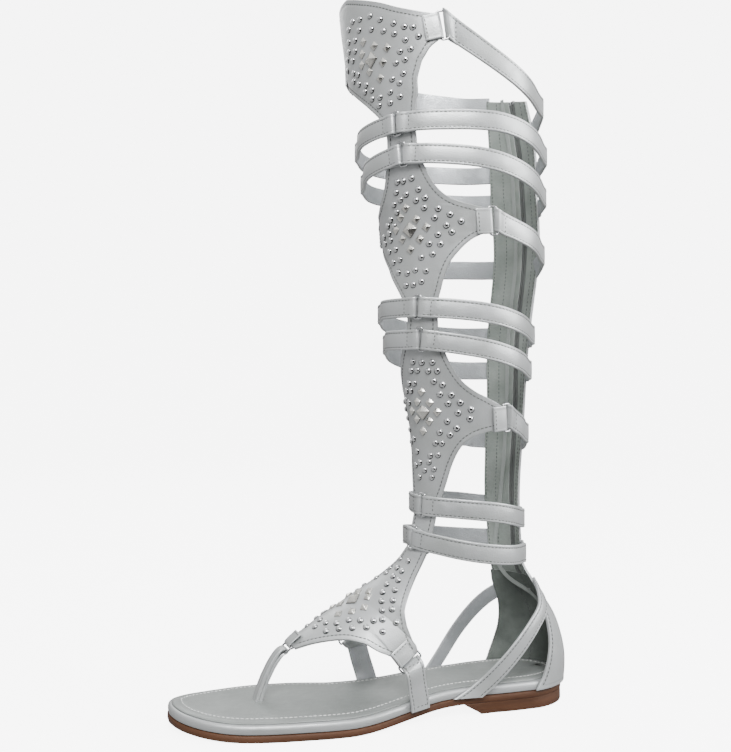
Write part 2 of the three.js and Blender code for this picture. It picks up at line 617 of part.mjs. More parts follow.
for (const strap of WING_STRAPS) {
  const round = Math.sign(strap.reach);
  const ring = uprightRing((z, out) => onShin(strap.reach, z, out), strap.z, LEATHER / 2);
  const start = ring.centre.clone().addScaledVector(ring.across, round * RING_WIDTH / 2)
    .addScaledVector(ring.normal, -LEATHER / 2);
  const side = onLeg(strap.side, strap.sideZ, 0);
  const beforeEnd = onLeg(strap.end - round * 16, THREE.MathUtils.lerp(strap.endZ, strap.sideZ, 0.3), 0.4);
  const end = onLeg(strap.end, strap.endZ, 1.5);
  const between = onLeg((strap.side + strap.end) / 2, (strap.sideZ + strap.endZ) / 2, 0);
  leather.push(ribbon([start, side, between, beforeEnd, end], legCore, WING_STRAP_WIDTH, 10));
  leather.push(loop(ring, 1, WING_STRAP_WIDTH));
  leather.push(loop(ring, -1, WING_STRAP_WIDTH));
  rings.push({ name: `ring_wing_${strap.name}`, ring, height: WING_STRAP_WIDTH + 2.6 });
}

const backStrip = sheet(BACK.length + 4, 4, (u, v, side) => {
  const z = THREE.MathUtils.lerp(BACK[0].z, BACK[BACK.length - 1].z, u);
  const inner = at(BACK, 'z', z, 'inner');
  const outer = at(BACK, 'z', z, 'outer');
  return onLeg(THREE.MathUtils.lerp(outer, inner, v), z, side * LEATHER);
});
leather.push(backStrip);

const counter = sheet(COUNTER.length - 1, 12, (u, v, side) => {
  const row = COUNTER[Math.round(u * (COUNTER.length - 1))];
  return onLeg(THREE.MathUtils.lerp(row.outer, row.inner, v), row.z, side * LEATHER);
});
leather.push(counter);

const heelCore = (point) => new THREE.Vector3(Math.max(point.x * 0.4 + 12, point.x * 0.9), 0, point.z - 2);
leather.push(ribbon(HEEL_STRAP_OUTER, heelCore, HEEL_STRAP_WIDTH, 9));
leather.push(ribbon(HEEL_STRAP_INNER, heelCore, HEEL_STRAP_WIDTH, 9));

// Vamp with its side rings and toe ring
const vampRows = VAMP.length - 1;
leather.push(sheet(vampRows, 8, (u, v, side) => onVamp(u, 2 * v - 1, side * LEATHER)));
const wingRow = 7.5 / vampRows;
const vampOuter = ringOnVamp(wingRow, 1);
const vampInner = ringOnVamp(wingRow, -1);
leather.push(loop(vampOuter, -1, TAB_WIDTH - 1));
leather.push(loop(vampInner, -1, TAB_WIDTH - 1));
rings.push({ name: 'ring_vamp_outer', ring: vampOuter, height: TAB_WIDTH + 2.8 });
rings.push({ name: 'ring_vamp_inner', ring: vampInner, height: TAB_WIDTH + 2.8 });

const toeEnd = onVamp(1, 0, LEATHER / 2);
const toeDown = new THREE.Vector3(1, 0, -0.9).normalize();
const toeRing = {
  centre: toeEnd.clone().addScaledVector(toeDown, RING_WIDTH / 2),
  bar: new THREE.Vector3(0, 1, 0),
  across: toeDown,
  normal: new THREE.Vector3().crossVectors(toeDown, new THREE.Vector3(0, 1, 0)),
};
leather.push(loop(toeRing, -1, TOE_POST_WIDTH));
rings.push({ name: 'ring_toe', ring: toeRing, height: TOE_POST_WIDTH + 3 });

// The upper: all that leather joined, opened for the zip and round the ring wires
let upper = union(leather);
const zipTurn = (z, offset) => at(BACK, 'z', z, 'zip') + turnFor(offset, Math.max(z, 84));
const zipSlot = sheet(16, 1, (u, v, side) => {
  const z = THREE.MathUtils.lerp(ZIP_FOOT, ZIP_TOP + 10, u);
  return onLeg(zipTurn(z, (v - 0.5) * ZIP_SLOT), z, side ? LEATHER + 3 : -3);
});
upper = upper.subtract(zipSlot);
for (const { ring, height } of rings) upper = upper.subtract(placed(tunnel(height), ring));

// Side tabs and toe post. A tab lies along the sole's edge at its foot and along its ring at the top.
function tab(rows, ring, hand) {
  const end = ring.centre.clone().addScaledVector(ring.across, RING_WIDTH / 2);
  end.addScaledVector(ring.normal, -LEATHER / 2);
  const curve = route([...rows, end]);
  const foot = new THREE.Vector3(hand, 0.25, 0).normalize();
  const strap = sheet(9, 1, (u, v, side) => {
    const forward = curve.getTangent(u);
    const along = foot.clone().lerp(ring.bar.clone().negate(), u);
    along.addScaledVector(forward, -along.dot(forward)).normalize();
    const outward = new THREE.Vector3().crossVectors(forward, along);
    return curve.getPoint(u).addScaledVector(along, (v - 0.5) * TAB_WIDTH)
      .addScaledVector(outward, side * LEATHER);
  });
  const joined = strap.add(loop(ring, 1, TAB_WIDTH + 0.6));
  return joined.subtract(placed(tunnel(TAB_WIDTH + 2.8), ring));
}
const tabOuter = tab(TAB_OUTER, vampOuter, 1);
const tabInner = tab(TAB_INNER, vampInner, -1);

const postEnd = toeRing.centre.clone().addScaledVector(toeRing.across, RING_WIDTH / 2);
const postRows = TOE_POST.map((row) => ({ ...row, y: TOE_POST_Y }));
postRows.push({ x: postEnd.x, y: postEnd.y, z: postEnd.z });
const postCurve = route(postRows);
const postStrap = sheet(9, 1, (u, v, side) => {
  const point = postCurve.getPoint(u);
  const forward = postCurve.getTangent(u);
  const outward = new THREE.Vector3(-forward.z, 0, forward.x).normalize();
  point.y += (v - 0.5) * TOE_POST_WIDTH;
  return point.addScaledVector(outward, (side - 0.5) * 2 * LEATHER);
});
const toePost = postStrap.add(loop(toeRing, 1, TOE_POST_WIDTH))
  .subtract(placed(tunnel(TOE_POST_WIDTH + 3), toeRing));
const postSlot = new THREE.BoxGeometry(2 * LEATHER + 1.8, TOE_POST_WIDTH + 2 * GAP, 8);
postSlot.translate(TOE_POST[0].x - 0.1, TOE_POST_Y, TOE_POST[0].z);

// Zip: tape in the slot, closed teeth along it, slider at the top and its pull tab outside
const tapeSheet = (width, low, high) => sheet(16, 1, (u, v, side) => {
  const z = THREE.MathUtils.lerp(ZIP_FOOT + GAP, ZIP_TOP, u);
  return onLeg(zipTurn(z, (v - 0.5) * width), z, side ? high : low);
});
const tape = tapeSheet(ZIP_SLOT - 2 * GAP, 0.2, 1);
const teeth = tapeSheet(2.6, 1 + GAP, 2 + GAP).trimByPlane([0, 0, -1], 12 - ZIP_TOP);

const sliderZ = ZIP_TOP - 6.4;
const sliderFrame = uprightRing((z, out) => onLeg(zipTurn(z, 0), z, out), sliderZ, 2.2);
const sliderBlock = new THREE.BoxGeometry(3.9, 9, 1.8);
const PIVOT = 1.9; // height of the pull's pin over the middle of the slider
const lug = new THREE.BoxGeometry(1.4, 3.4, 2.7);
lug.translate(0, 0, 1.85);
const eye = new THREE.CylinderGeometry(0.85, 0.85, 4, 10);
eye.rotateZ(Math.PI / 2);
eye.translate(0, 0, PIVOT);
const slider = placed(fromGeometry(sliderBlock).add(fromGeometry(lug)).subtract(fromGeometry(eye)),
  sliderFrame);

const pullShape = new THREE.Shape();
pullShape.moveTo(-2.3, 0.5);
pullShape.lineTo(-3, -15);
pullShape.absarc(0, -15, 3, Math.PI, 2 * Math.PI, false);
pullShape.lineTo(2.3, 0.5);
pullShape.lineTo(1.15, 0.5);
pullShape.lineTo(1.3, -6.4);
pullShape.lineTo(-1.3, -6.4);
pullShape.lineTo(-1.15, 0.5);
const pullPlate = new THREE.ExtrudeGeometry(pullShape, { depth: 1, bevelEnabled: false, curveSegments: 6 });
pullPlate.translate(0, 0, PIVOT - 0.5);
const pin = new THREE.CylinderGeometry(0.5, 0.5, 3.6, 8);
pin.rotateZ(Math.PI / 2);
pin.translate(0, 0, PIVOT);
const pull = placed(fromGeometry(pullPlate).add(fromGeometry(pin)), sliderFrame);

add('outsole', outsole, BROWN, 0.7, 0);
add('heel', heel, BROWN, 0.6, 0);
add('platform', platform, SILVER, 0.4, 0.6);
add('insole', insole.subtract(fromGeometry(postSlot)), GREY, 0.6, 0.2);
add('upper', upper, SILVER, 0.4, 0.6);
add('tab_outer', tabOuter, SILVER, 0.4, 0.6);
add('tab_inner', tabInner, SILVER, 0.4, 0.6);
add('toe_post', toePost, SILVER, 0.4, 0.6);
for (const { name, ring, height } of rings) add(name, placed(wire(height), ring), CHROME, 0.2, 1);
add('zip_tape', tape, GREY, 0.8, 0);
add('zip_teeth', teeth, CHROME, 0.4, 0.8);
add('zip_slider', slider, CHROME, 0.25, 1);
add('zip_pull', pull, CHROME, 0.25, 1);

export default sandal;
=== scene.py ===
from math import atan2, cos, exp, hypot, pi, radians, degrees, sin, sqrt

import bmesh
import bpy
import numpy as np
from mathutils import Matrix, Vector


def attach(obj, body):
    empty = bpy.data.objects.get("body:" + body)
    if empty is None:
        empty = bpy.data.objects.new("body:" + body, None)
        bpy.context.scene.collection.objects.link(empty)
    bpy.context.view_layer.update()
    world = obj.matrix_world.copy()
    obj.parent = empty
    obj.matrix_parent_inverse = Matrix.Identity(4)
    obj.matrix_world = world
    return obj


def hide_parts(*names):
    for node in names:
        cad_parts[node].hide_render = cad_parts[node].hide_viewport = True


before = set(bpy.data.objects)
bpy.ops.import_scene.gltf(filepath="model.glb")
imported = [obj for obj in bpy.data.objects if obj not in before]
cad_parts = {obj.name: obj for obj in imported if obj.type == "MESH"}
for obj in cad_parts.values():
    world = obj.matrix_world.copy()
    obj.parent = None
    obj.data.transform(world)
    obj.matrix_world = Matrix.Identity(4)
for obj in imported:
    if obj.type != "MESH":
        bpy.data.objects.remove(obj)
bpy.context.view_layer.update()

for spare in ("Cube", "Camera", "Light"):
    if spare in bpy.data.objects:
        bpy.data.objects.remove(bpy.data.objects[spare])


# ---- Camera ----
# It stands off the outer side of the left sandal, ahead of the toes, at mid-shaft height, and looks
# almost level across the foot.
camera = bpy.data.objects.new("camera", bpy.data.cameras.new("camera"))
camera.data.lens = 45.48
camera.location = (0.2748, 0.5493, 0.1872)
camera_aim = Vector((-cos(radians(72.24)), -sin(radians(72.24)), 0.02566))
camera.rotation_mode = "QUATERNION"
camera.rotation_quaternion = camera_aim.to_track_quat("-Z", "Y")
bpy.context.scene.collection.objects.link(camera)
bpy.context.scene.camera = camera


# ---- Floor, backdrop and light ----
# A pale round floor that sweeps up into a wall on all sides, a big soft lamp over the toes, a fill on
# the other side, and a black flag behind the camera that only the metal sees.
SMOOTH_BELOW = radians(38)


def mesh_of(name, bm):
    mesh = bpy.data.meshes.new(name)
    bm.to_mesh(mesh)
    bm.free()
    return mesh


def link(name, bm, *materials):
    for edge in bm.edges:
        edge.smooth = edge.calc_face_angle(0) < SMOOTH_BELOW
    for face in bm.faces:
        face.smooth = True
    mesh = mesh_of(name, bm)
    for material in materials:
        mesh.materials.append(material)
    made = bpy.data.objects.new(name, mesh)
    bpy.context.scene.collection.objects.link(made)
    return made


def shader(name, colour, roughness, metallic=0.0):
    made = bpy.data.materials.new(name)
    made.use_nodes = True
    principled = made.node_tree.nodes["Principled BSDF"]
    principled.inputs["Base Color"].default_value = (*colour, 1)
    principled.inputs["Roughness"].default_value = roughness
    principled.inputs["Metallic"].default_value = metallic
    return made, made.node_tree, principled


def square_to(vector, ahead):
    return (vector - ahead * vector.dot(ahead)).normalized()


def verts_in(grown):
    return [item for item in grown["geom"] if isinstance(item, bmesh.types.BMVert)]


def edge_out(bm, edges):
    grown = bmesh.ops.extrude_edge_only(bm, edges=edges)
    fresh = set(verts_in(grown))
    return fresh, [item for item in grown["geom"] if isinstance(item, bmesh.types.BMEdge)
                   and item.verts[0] in fresh and item.verts[1] in fresh]


paper, _, paper_shader = shader("paper", (0.6, 0.6, 0.6), 0.9)
paper_shader.inputs["Emission Color"].default_value = (1, 1, 1, 1)
paper_shader.inputs["Emission Strength"].default_value = 6.4

sweep = bmesh.new()
bmesh.ops.create_circle(sweep, cap_ends=True, segments=96, radius=2.6)
sweep_rim = [edge for edge in sweep.edges if edge.is_boundary]
for out, up in ((2.9, 0.04), (3.15, 0.16), (3.35, 0.4), (3.45, 0.8), (3.5, 1.4), (3.5, 3.2)):
    rim_verts, sweep_rim = edge_out(sweep, sweep_rim)
    for vert in rim_verts:
        vert.co = Vector((vert.co.x, vert.co.y, 0)).normalized() * out + Vector((0, 0, up))
floor = link("floor", sweep, paper)
for ray in ("visible_diffuse", "visible_glossy", "visible_shadow"):
    setattr(floor, ray, False)

world = bpy.data.worlds.new("studio")
world.use_nodes = True
sky = world.node_tree
sky_place = sky.nodes.new("ShaderNodeTexCoord")
sky_height = sky.nodes.new("ShaderNodeSeparateXYZ")
sky_ramp = sky.nodes.new("ShaderNodeValToRGB")
sky_ramp.color_ramp.elements[0].position, sky_ramp.color_ramp.elements[0].color = 0.0, (0.5, 0.5, 0.5, 1)
sky_ramp.color_ramp.elements[1].position, sky_ramp.color_ramp.elements[1].color = 0.75, (1, 1, 1, 1)
sky.links.new(sky_place.outputs["Generated"], sky_height.inputs["Vector"])
sky.links.new(sky_height.outputs["Z"], sky_ramp.inputs["Fac"])
sky.links.new(sky_ramp.outputs["Color"], sky.nodes["Background"].inputs["Color"])
sky.nodes["Background"].inputs["Strength"].default_value = 1.0
bpy.context.scene.world = world


def soft_lamp(name, place, aim, size, watts):
    lamp = bpy.data.lights.new(name, "AREA")
    lamp.shape = "DISK"
    lamp.size = size
    lamp.energy = watts
    stand = bpy.data.objects.new(name, lamp)
    stand.location = place
    stand.rotation_mode = "QUATERNION"
    stand.rotation_quaternion = (Vector(aim) - Vector(place)).to_track_quat("-Z", "Y")
    bpy.context.scene.collection.objects.link(stand)


soft_lamp("key_lamp", (0.42, 1.3, 1.25), (0.05, 0, 0.15), 0.9, 55)
soft_lamp("fill_lamp", (-1.3, 0.75, 0.8), (0, 0, 0.2), 1.2, 32)
soft_lamp("back_lamp", (0.2, -1.5, 1.4), (0, 0, 0.2), 1.2, 12)

black = shader("black_cloth", (0.004, 0.004, 0.004), 1)[0]
flag_bm = bmesh.new()
bmesh.ops.create_circle(flag_bm, cap_ends=True, segments=32, radius=0.5)
flag_turn = camera_aim.to_track_quat("Z", "Y").to_matrix().to_4x4()
flag_place = Vector((0.31, 0.66, 0.22))
bmesh.ops.transform(flag_bm, matrix=Matrix.Translation(flag_place) @ flag_turn, verts=flag_bm.verts)
flag = link("black_flag", flag_bm, black)
for ray in ("visible_camera", "visible_diffuse", "visible_shadow", "visible_transmission"):
    setattr(flag, ray, False)


# ---- Outsole ----
# Brown rubber, four millimetres thick and moulded in one piece. It is level on the heel, lifts in the
# waist and lies flat again under the ball; all sizes from here on are millimetres.
OUTLINE = (  # station, outer half width, inner half width
    (-30, 2.6, 2.6), (-29, 6.4, 6.4), (-26, 12.4, 12.4), (-20, 18.8, 18.8), (-10, 24.3, 24.3),
    (2, 27.2, 26.8), (20, 27.6, 26.2), (38, 27, 23.4), (56, 28, 21), (75, 31.6, 21.6), (92, 36, 25),
    (108, 39.4, 30.4), (124, 40.2, 36), (140, 38.9, 40), (156, 36.8, 41.8), (172, 33.6, 41.4),
    (186, 29, 38), (198, 22.2, 32.6), (207, 13.4, 26.6), (212, 5, 21.4), (214.4, -3, 17), (215, -7, 13),
)
UNDERSIDE = (  # station, height
    (-30, 7), (40, 7), (62, 6.3), (84, 3.6), (104, 1.1), (120, 0), (170, 0), (190, 0.7), (215, 3.4),
)


def along(rows, place, column):
    last = len(rows) - 1
    place = min(max(place, rows[0][0]), rows[last][0])
    i = 0
    while i < last - 1 and rows[i + 1][0] < place:
        i += 1

    def slope(j):
        before, after = rows[max(j - 1, 0)], rows[min(j + 1, last)]
        if 0 < j < last and (after[column] - rows[j][column]) * (rows[j][column] - before[column]) <= 0:
            return 0
        return (after[column] - before[column]) / (after[0] - before[0])

    span = rows[i + 1][0] - rows[i][0]
    s = (place - rows[i][0]) / span
    rise = s * s * (3 - 2 * s)
    return (rows[i][column] * (1 - rise) + rows[i + 1][column] * rise
            + span * s * (1 - s) * ((1 - s) * slope(i) - s * slope(i + 1)))


SOLE_WIDTHS = tuple((x, (outer - inner) / 2, ((outer + inner) / 2) ** 2) for x, outer, inner in OUTLINE)
SOLE_SEGMENTS = 200
SOLE_MIDDLE, SOLE_HALF = 92.5, 122.5


def sole_turn(i):
    return 2 * pi * (i + 0.5) / SOLE_SEGMENTS


def sole_edge(inset):
    edge = []
    for i in range(SOLE_SEGMENTS):
        turn = sole_turn(i)
        x = SOLE_MIDDLE + SOLE_HALF * cos(turn)
        half = sqrt(along(SOLE_WIDTHS, x, 2))
        edge.append(Vector((x, along(SOLE_WIDTHS, x, 1) + (half if turn < pi else -half), 0)))
    inward = []
    for i, point in enumerate(edge):
        run = edge[(i + 1) % SOLE_SEGMENTS] - edge[i - 1]
        inward.append(point + Vector((-run.y, run.x, 0)).normalized() * inset)
    return inward


def sole_ring(inset, height):
    return [Vector((p.x, p.y, along(UNDERSIDE, p.x, 1) + height)) for p in sole_edge(inset)]


def loft(bm, rings):
    station = bm.verts.layers.int.new("station")
    first = bmesh.ops.create_circle(bm, cap_ends=False, segments=len(rings[0]), radius=1)["verts"]
    for i, vert in enumerate(first):
        vert[station] = i
        vert.co = rings[0][i]
    edges = list({edge for vert in first for edge in vert.link_edges})
    for ring in rings[1:]:
        fresh, edges = edge_out(bm, edges)
        for vert in fresh:
            vert.co = ring[vert[station]]
    return station


def face_outward(bm):
    bmesh.ops.recalc_face_normals(bm, faces=bm.faces[:])


def close(bm, weld=0.004):
    bmesh.ops.remove_doubles(bm, verts=bm.verts[:], dist=weld)
    bmesh.ops.holes_fill(bm, edges=[edge for edge in bm.edges if edge.is_boundary], sides=0)
    face_outward(bm)


def round_off(bm, edges, by, segments):
    bmesh.ops.bevel(bm, geom=edges, offset=by, segments=segments, profile=0.5, affect="EDGES", material=-1)


def sole_cap(inset, height, share):
    ring = []
    for i, rim in enumerate(sole_edge(inset)):
        x = SOLE_MIDDLE + SOLE_HALF * cos(sole_turn(i)) * (0.8 + 0.18 * share)
        point = Vector((x, along(SOLE_WIDTHS, x, 1), 0)).lerp(rim, share)
        point.z = along(UNDERSIDE, point.x, 1) + height
        ring.append(point)
    return ring


def sole_rings(profile):
    inward = (0.55, 0.25, 0.06, 0)
    rings = [sole_cap(*profile[0], share) for share in reversed(inward)]
    rings += [sole_ring(inset, height) for inset, height in profile]
    return rings + [sole_cap(*profile[-1], share) for share in inward]


def finish(name, bm, materials, node, body="sandal"):
    bmesh.ops.scale(bm, vec=(0.001, 0.001, 0.001), verts=bm.verts)
    piece = link(name, bm, *materials)
    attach(piece, body)
    if node:
        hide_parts(node)


def node_of(tree, kind, **values):
    made = tree.nodes.new(kind)
    for key, value in values.items():
        if key in made.inputs:
            made.inputs[key].default_value = value
        else:
            setattr(made, key, value)
    return made


def noise(tree, scale, detail=3.0, stretch=(1, 1, 1)):
    coordinates = node_of(tree, "ShaderNodeTexCoord")
    mapping = node_of(tree, "ShaderNodeMapping", Scale=stretch)
    texture = node_of(tree, "ShaderNodeTexNoise", Scale=scale, Detail=detail)
    tree.links.new(coordinates.outputs["Object"], mapping.inputs["Vector"])
    tree.links.new(mapping.outputs["Vector"], texture.inputs["Vector"])
    return texture.outputs["Fac"]


def tint(tree, amount, low, high, start=0.35, end=0.65):
    ramp = node_of(tree, "ShaderNodeValToRGB")
    ramp.color_ramp.elements[0].position = start
    ramp.color_ramp.elements[1].position = end
    ramp.color_ramp.elements[0].color = (*low, 1)
    ramp.color_ramp.elements[1].color = (*high, 1)
    tree.links.new(amount, ramp.inputs["Fac"])
    return ramp.outputs["Color"]


def span(tree, amount, low, high, start=0.0, end=1.0):
    made = node_of(tree, "ShaderNodeMapRange")
    for key, value in (("From Min", start), ("From Max", end), ("To Min", low), ("To Max", high)):
        made.inputs[key].default_value = value
    tree.links.new(amount, made.inputs["Value"])
    return made.outputs["Result"]


def bump(tree, height, distance, strength=1.0, under=None):
    made = node_of(tree, "ShaderNodeBump", Distance=distance, Strength=strength)
    tree.links.new(height, made.inputs["Height"])
    if under:
        tree.links.new(under, made.inputs["Normal"])
    return made.outputs["Normal"]


def dress(tree, principled, colour, roughness=None, normal=None):
    for socket, output in (("Base Color", colour), ("Roughness", roughness), ("Normal", normal)):
        if output:
            tree.links.new(output, principled.inputs[socket])


rubber, tree, principled = shader("brown_rubber", (0.1, 0.05, 0.03), 0.5)
streaks = noise(tree, 60, 6, (0.3, 0.3, 4))
dress(tree, principled, tint(tree, streaks, (0.048, 0.0195, 0.0086), (0.077, 0.0325, 0.0152)),
      span(tree, noise(tree, 500, 4), 0.5, 0.68), bump(tree, noise(tree, 1100, 4), 0.0002, 0.4))
principled.inputs["Specular IOR Level"].default_value = 0.3

outsole = bmesh.new()
loft(outsole, sole_rings(((1.1, 0), (0.6, 0.05), (0.2, 0.3), (0.02, 0.9), (0, 2), (0.05, 3.2),
                          (0.35, 3.8), (0.9, 4))))
close(outsole)
finish("outsole", outsole, [rubber], "outsole")


# ---- Heel ----
# A low block of the same brown rubber, glued under the outsole. Its front leans forward to the top and
# its edges are trimmed a little inside the sole's.
HEEL_BACK, HEEL_FRONT = -29, 46
HEEL_RINGS = ((1.6, 0, 35.0), (0.8, 0.25, 35.1), (0.5, 0.9, 35.6), (0.3, 5.8, 44.5), (0.25, 7.05, 46.4))


def heel_ring(inset, height, front):
    sides = [p for p in sole_edge(inset) if p.x < HEEL_FRONT]
    outer = sorted((p for p in sides if p.y > 0), key=lambda p: -p.x)
    inner = sorted((p for p in sides if p.y <= 0), key=lambda p: p.x)
    ring = []
    for p in outer + inner:
        share = (p.x - HEEL_BACK) / (HEEL_FRONT - HEEL_BACK)
        ring.append(Vector((HEEL_BACK + (front - HEEL_BACK) * share if share > 0 else p.x, p.y, height)))
    return ring


heel = bmesh.new()
loft(heel, [heel_ring(*row) for row in HEEL_RINGS])
close(heel)
heel_rim = [edge for edge in heel.edges if edge.calc_face_angle(0) > radians(50)
            and min(vert.co.x for vert in edge.verts) > 30]
round_off(heel, heel_rim, 0.4, 3)
finish("heel", heel, [rubber], "heel")


# ---- Platform ----
# A five-millimetre board between outsole and footbed. It is wrapped in silver leather, which is drawn
# over its rounded shoulder and glued down underneath.
# Colour factor by distance from the turned rim: darker at the very rim, a painted highlight on the rolled
# edge just inside it, and painted shade in the stitch groove.
EDGE_PAINTED_LIGHT = ((0, 0.9), (0.045, 1.06), (0.11, 1.0), (0.17, 0.8), (0.235, 1.0))  # distance in cm, shade


def silver(name, base, high, metal=0.55, rough=(0.34, 0.46), grain=0.5):
    made, tree, principled = shader(name, base, 0.4, metal)
    colour = tint(tree, noise(tree, 45, 5), base, high, 0.3, 0.7)
    # The edge ramp paints light into the colour: a painted highlight on the rolled edge and painted shade
    # along the stitch groove.
    edge = node_of(tree, "ShaderNodeAttribute", attribute_name="edge")
    edge_light_and_shade = node_of(tree, "ShaderNodeValToRGB")
    stops = edge_light_and_shade.color_ramp.elements
    while len(stops) < len(EDGE_PAINTED_LIGHT):
        stops.new(0.5)
    for stop, (place, shade) in zip(stops, EDGE_PAINTED_LIGHT):
        stop.position = place
        stop.color = (shade, shade, shade, 1)
    to_cm = node_of(tree, "ShaderNodeMath", operation="MULTIPLY")
    to_cm.inputs[1].default_value = 0.1
    tree.links.new(edge.outputs["Fac"], to_cm.inputs[0])
    tree.links.new(to_cm.outputs["Value"], edge_light_and_shade.inputs["Fac"])
    shaded = node_of(tree, "ShaderNodeMix", data_type="RGBA", blend_type="MULTIPLY")
    shaded.inputs["Factor"].default_value = 1
    tree.links.new(colour, shaded.inputs[6])
    tree.links.new(edge_light_and_shade.outputs["Color"], shaded.inputs[7])
    pebbles = node_of(tree, "ShaderNodeTexVoronoi", Scale=1350, feature="SMOOTH_F1")
    coordinates = node_of(tree, "ShaderNodeTexCoord")
    tree.links.new(coordinates.outputs["Object"], pebbles.inputs["Vector"])
    creases = bump(tree, noise(tree, 150, 6), 0.0005, 0.35 * grain)
    dress(tree, principled, shaded.outputs[2], span(tree, noise(tree, 260, 5), *rough, 0.3, 0.7),
          bump(tree, pebbles.outputs["Distance"], 0.00012, grain, creases))
    principled.inputs["Coat Weight"].default_value = 0.12
    principled.inputs["Coat Roughness"].default_value = 0.32
    return made


leather = silver("silver_leather", (0.425, 0.441, 0.437), (0.485, 0.501, 0.511))
platform = bmesh.new()
loft(platform, sole_rings(((3, 4.3), (1.1, 4.33), (0.6, 4.55), (0.36, 5.1), (0.28, 6.2), (0.32, 7.3),
                           (0.6, 8.3), (1.15, 9.05), (2.0, 9.45), (3.2, 9.58))))
close(platform)
finish("platform", platform, [leather], "platform")


# ---- Footbed ----
# Thin padded leather glued on the platform, turned down at its rim and sewn all round eight
# millimetres in from the edge.
footbed_leather = silver("footbed_leather", (0.215, 0.231, 0.224), (0.268, 0.285, 0.277),
                         0.35, (0.42, 0.55), 0.7)
footbed = bmesh.new()
loft(footbed, sole_rings(((3.0, 9.62), (2.5, 9.68), (2.3, 9.9), (2.5, 10.2), (3.4, 10.6), (5.2, 10.95),
                          (7.4, 11.06), (8, 10.94), (8.6, 11.06), (11, 11.2), (14, 11.2))))
close(footbed)
finish("insole", footbed, [footbed_leather], "insole")

threads = []
pale_threads = []


def sew(points, pitch=2.5, length=1.9, into=threads):
    run = 0.0
    last = points[0][0]
    due = pitch / 2
    for (a, up_a), (b, up_b) in zip(points, points[1:]):
        step = (b - a).length
        while step > 0 and run + step >= due:
            share = (due - run) / step
            ahead = (b - a).normalized()
            up = up_a.lerp(up_b, share)
            up = square_to(up, ahead)
            aside = up.cross(ahead)
            turned = Matrix((ahead * length / 2, aside * 0.35, up * 0.26)).transposed().to_4x4()
            into.append(Matrix.Translation(a.lerp(b, share)) @ turned)
            due += pitch
        run += step


bed_line = [Vector((p.x, p.y, along(UNDERSIDE, p.x, 1) + 11.0)) for p in sole_edge(8)]
sew([(p, Vector((0, 0, 1))) for p in bed_line + bed_line[:1]], 2.7, 2.1, pale_threads)


# ---- Shin piece ----
# One long piece of silver leather, cut as three winged panels joined by narrow necks. It is lined,
# its edge is turned and sewn all round, and it folds over the shin bone on the inner side.
LEATHER = 1.8
LEG = (  # height, rearmost point, half depth, half width
    (10, -30.3, 38.6, 27.8), (17, -30.8, 39, 28), (22, -31, 40, 28.6), (30, -30.6, 41, 29.4),
    (40, -28.4, 42, 30), (51, -24.4, 42.6, 30.8), (60, -19, 41, 31.8), (70, -11.4, 39.6, 33.2),
    (84, -4.8, 38.4, 36), (98, -4, 38, 38), (123, -3.2, 35.6, 35.6), (171, -6, 39, 39),
    (214, -8, 46, 46), (235, -10, 49.4, 49.4), (283, -16, 53.5, 53.5), (326, -16.4, 58.6, 58.6),
    (345, -16.3, 60.2, 60.2), (396, -10.5, 60.5, 60.5), (432, -8.5, 60.5, 60.5),
)
SHIN = (  # height, turn that its middle faces, reach to the inner and outer side, fold radius
    (96, 19, 9.5, 9.5, 36), (110, 21, 9.2, 9.2, 36), (124, 23, 9.5, 9.5, 36), (132, 24.5, 12, 12, 33),
    (140, 26, 14, 14, 30), (148, 27.5, 16, 16, 27), (155, 28.5, 18.8, 18.8, 24), (160, 29, 22, 22, 24),
    (164, 29.5, 26, 26, 24), (167.4, 30, 32, 32, 24), (169.6, 30.3, 40, 40, 24),
    (171, 30.5, 47.5, 47.5, 24), (183, 31, 47.5, 47.5, 24), (188.6, 31.8, 35, 39.5, 24),
    (192.2, 32.3, 28.4, 33, 24), (198, 33.4, 21.6, 26.2, 24), (206.6, 35.4, 16, 20.5, 27),
    (216.4, 38.4, 12.4, 15.4, 34), (225, 41.4, 10, 11.2, 42), (234, 44, 9.4, 9.4, 49),
    (243, 43, 10.2, 10.2, 49), (251, 41.4, 13.6, 13.6, 46), (259.4, 39, 17.8, 17.8, 42),
    (266.7, 37.5, 22.2, 22.2, 36), (273.5, 36.3, 28.8, 28.8, 36), (279, 35.5, 35.8, 35.8, 36),
    (282, 35.2, 42, 42, 36), (284, 35, 48, 48, 36), (296.4, 34.7, 48, 48, 36), (298.4, 34.7, 38, 41, 36),
    (300.4, 34.8, 28, 33.4, 36), (303, 35.2, 22.6, 27.4, 38), (307, 35.7, 18, 22.4, 38),
    (313.2, 36.4, 13.6, 18, 41), (321.8, 37.6, 10.8, 14, 47), (330, 39, 9.6, 10.4, 54),
    (340, 40, 9.4, 9.4, 58), (350, 38.4, 11, 12.4, 58), (358, 36, 16, 16.4, 54),
    (363, 34.4, 20.4, 19.4, 48), (370, 31.4, 27, 23.2, 48), (376, 29, 34.4, 28, 48),
    (379.6, 27.6, 40.5, 31, 48), (382, 26.8, 48, 33.6, 48), (387, 25, 48, 39.4, 48),
    (392, 23.2, 48, 47.8, 48), (395.4, 22, 48, 48.8, 48), (398, 21, 45, 49.6, 48),
    (404.4, 18.4, 43, 52, 48), (406.8, 17.2, 42, 44, 48), (411, 14.6, 40, 34, 48),
    (416, 11.4, 37, 26.4, 48), (420, 9, 34, 19, 48), (424, 6.6, 29, 11, 48), (427.6, 5, 20, 3, 48),
)


def on_leg(turn, z, out):
    angle = radians(turn)
    depth, width = along(LEG, z, 2), along(LEG, z, 3)
    normal = Vector((cos(angle) / depth, sin(angle) / width, 0)).normalized()
    middle = along(LEG, z, 1) + depth
    return Vector((middle + depth * cos(angle), width * sin(angle), z)) + normal * out


def turn_for(length, z):
    return degrees(length / along(LEG, z, 2))


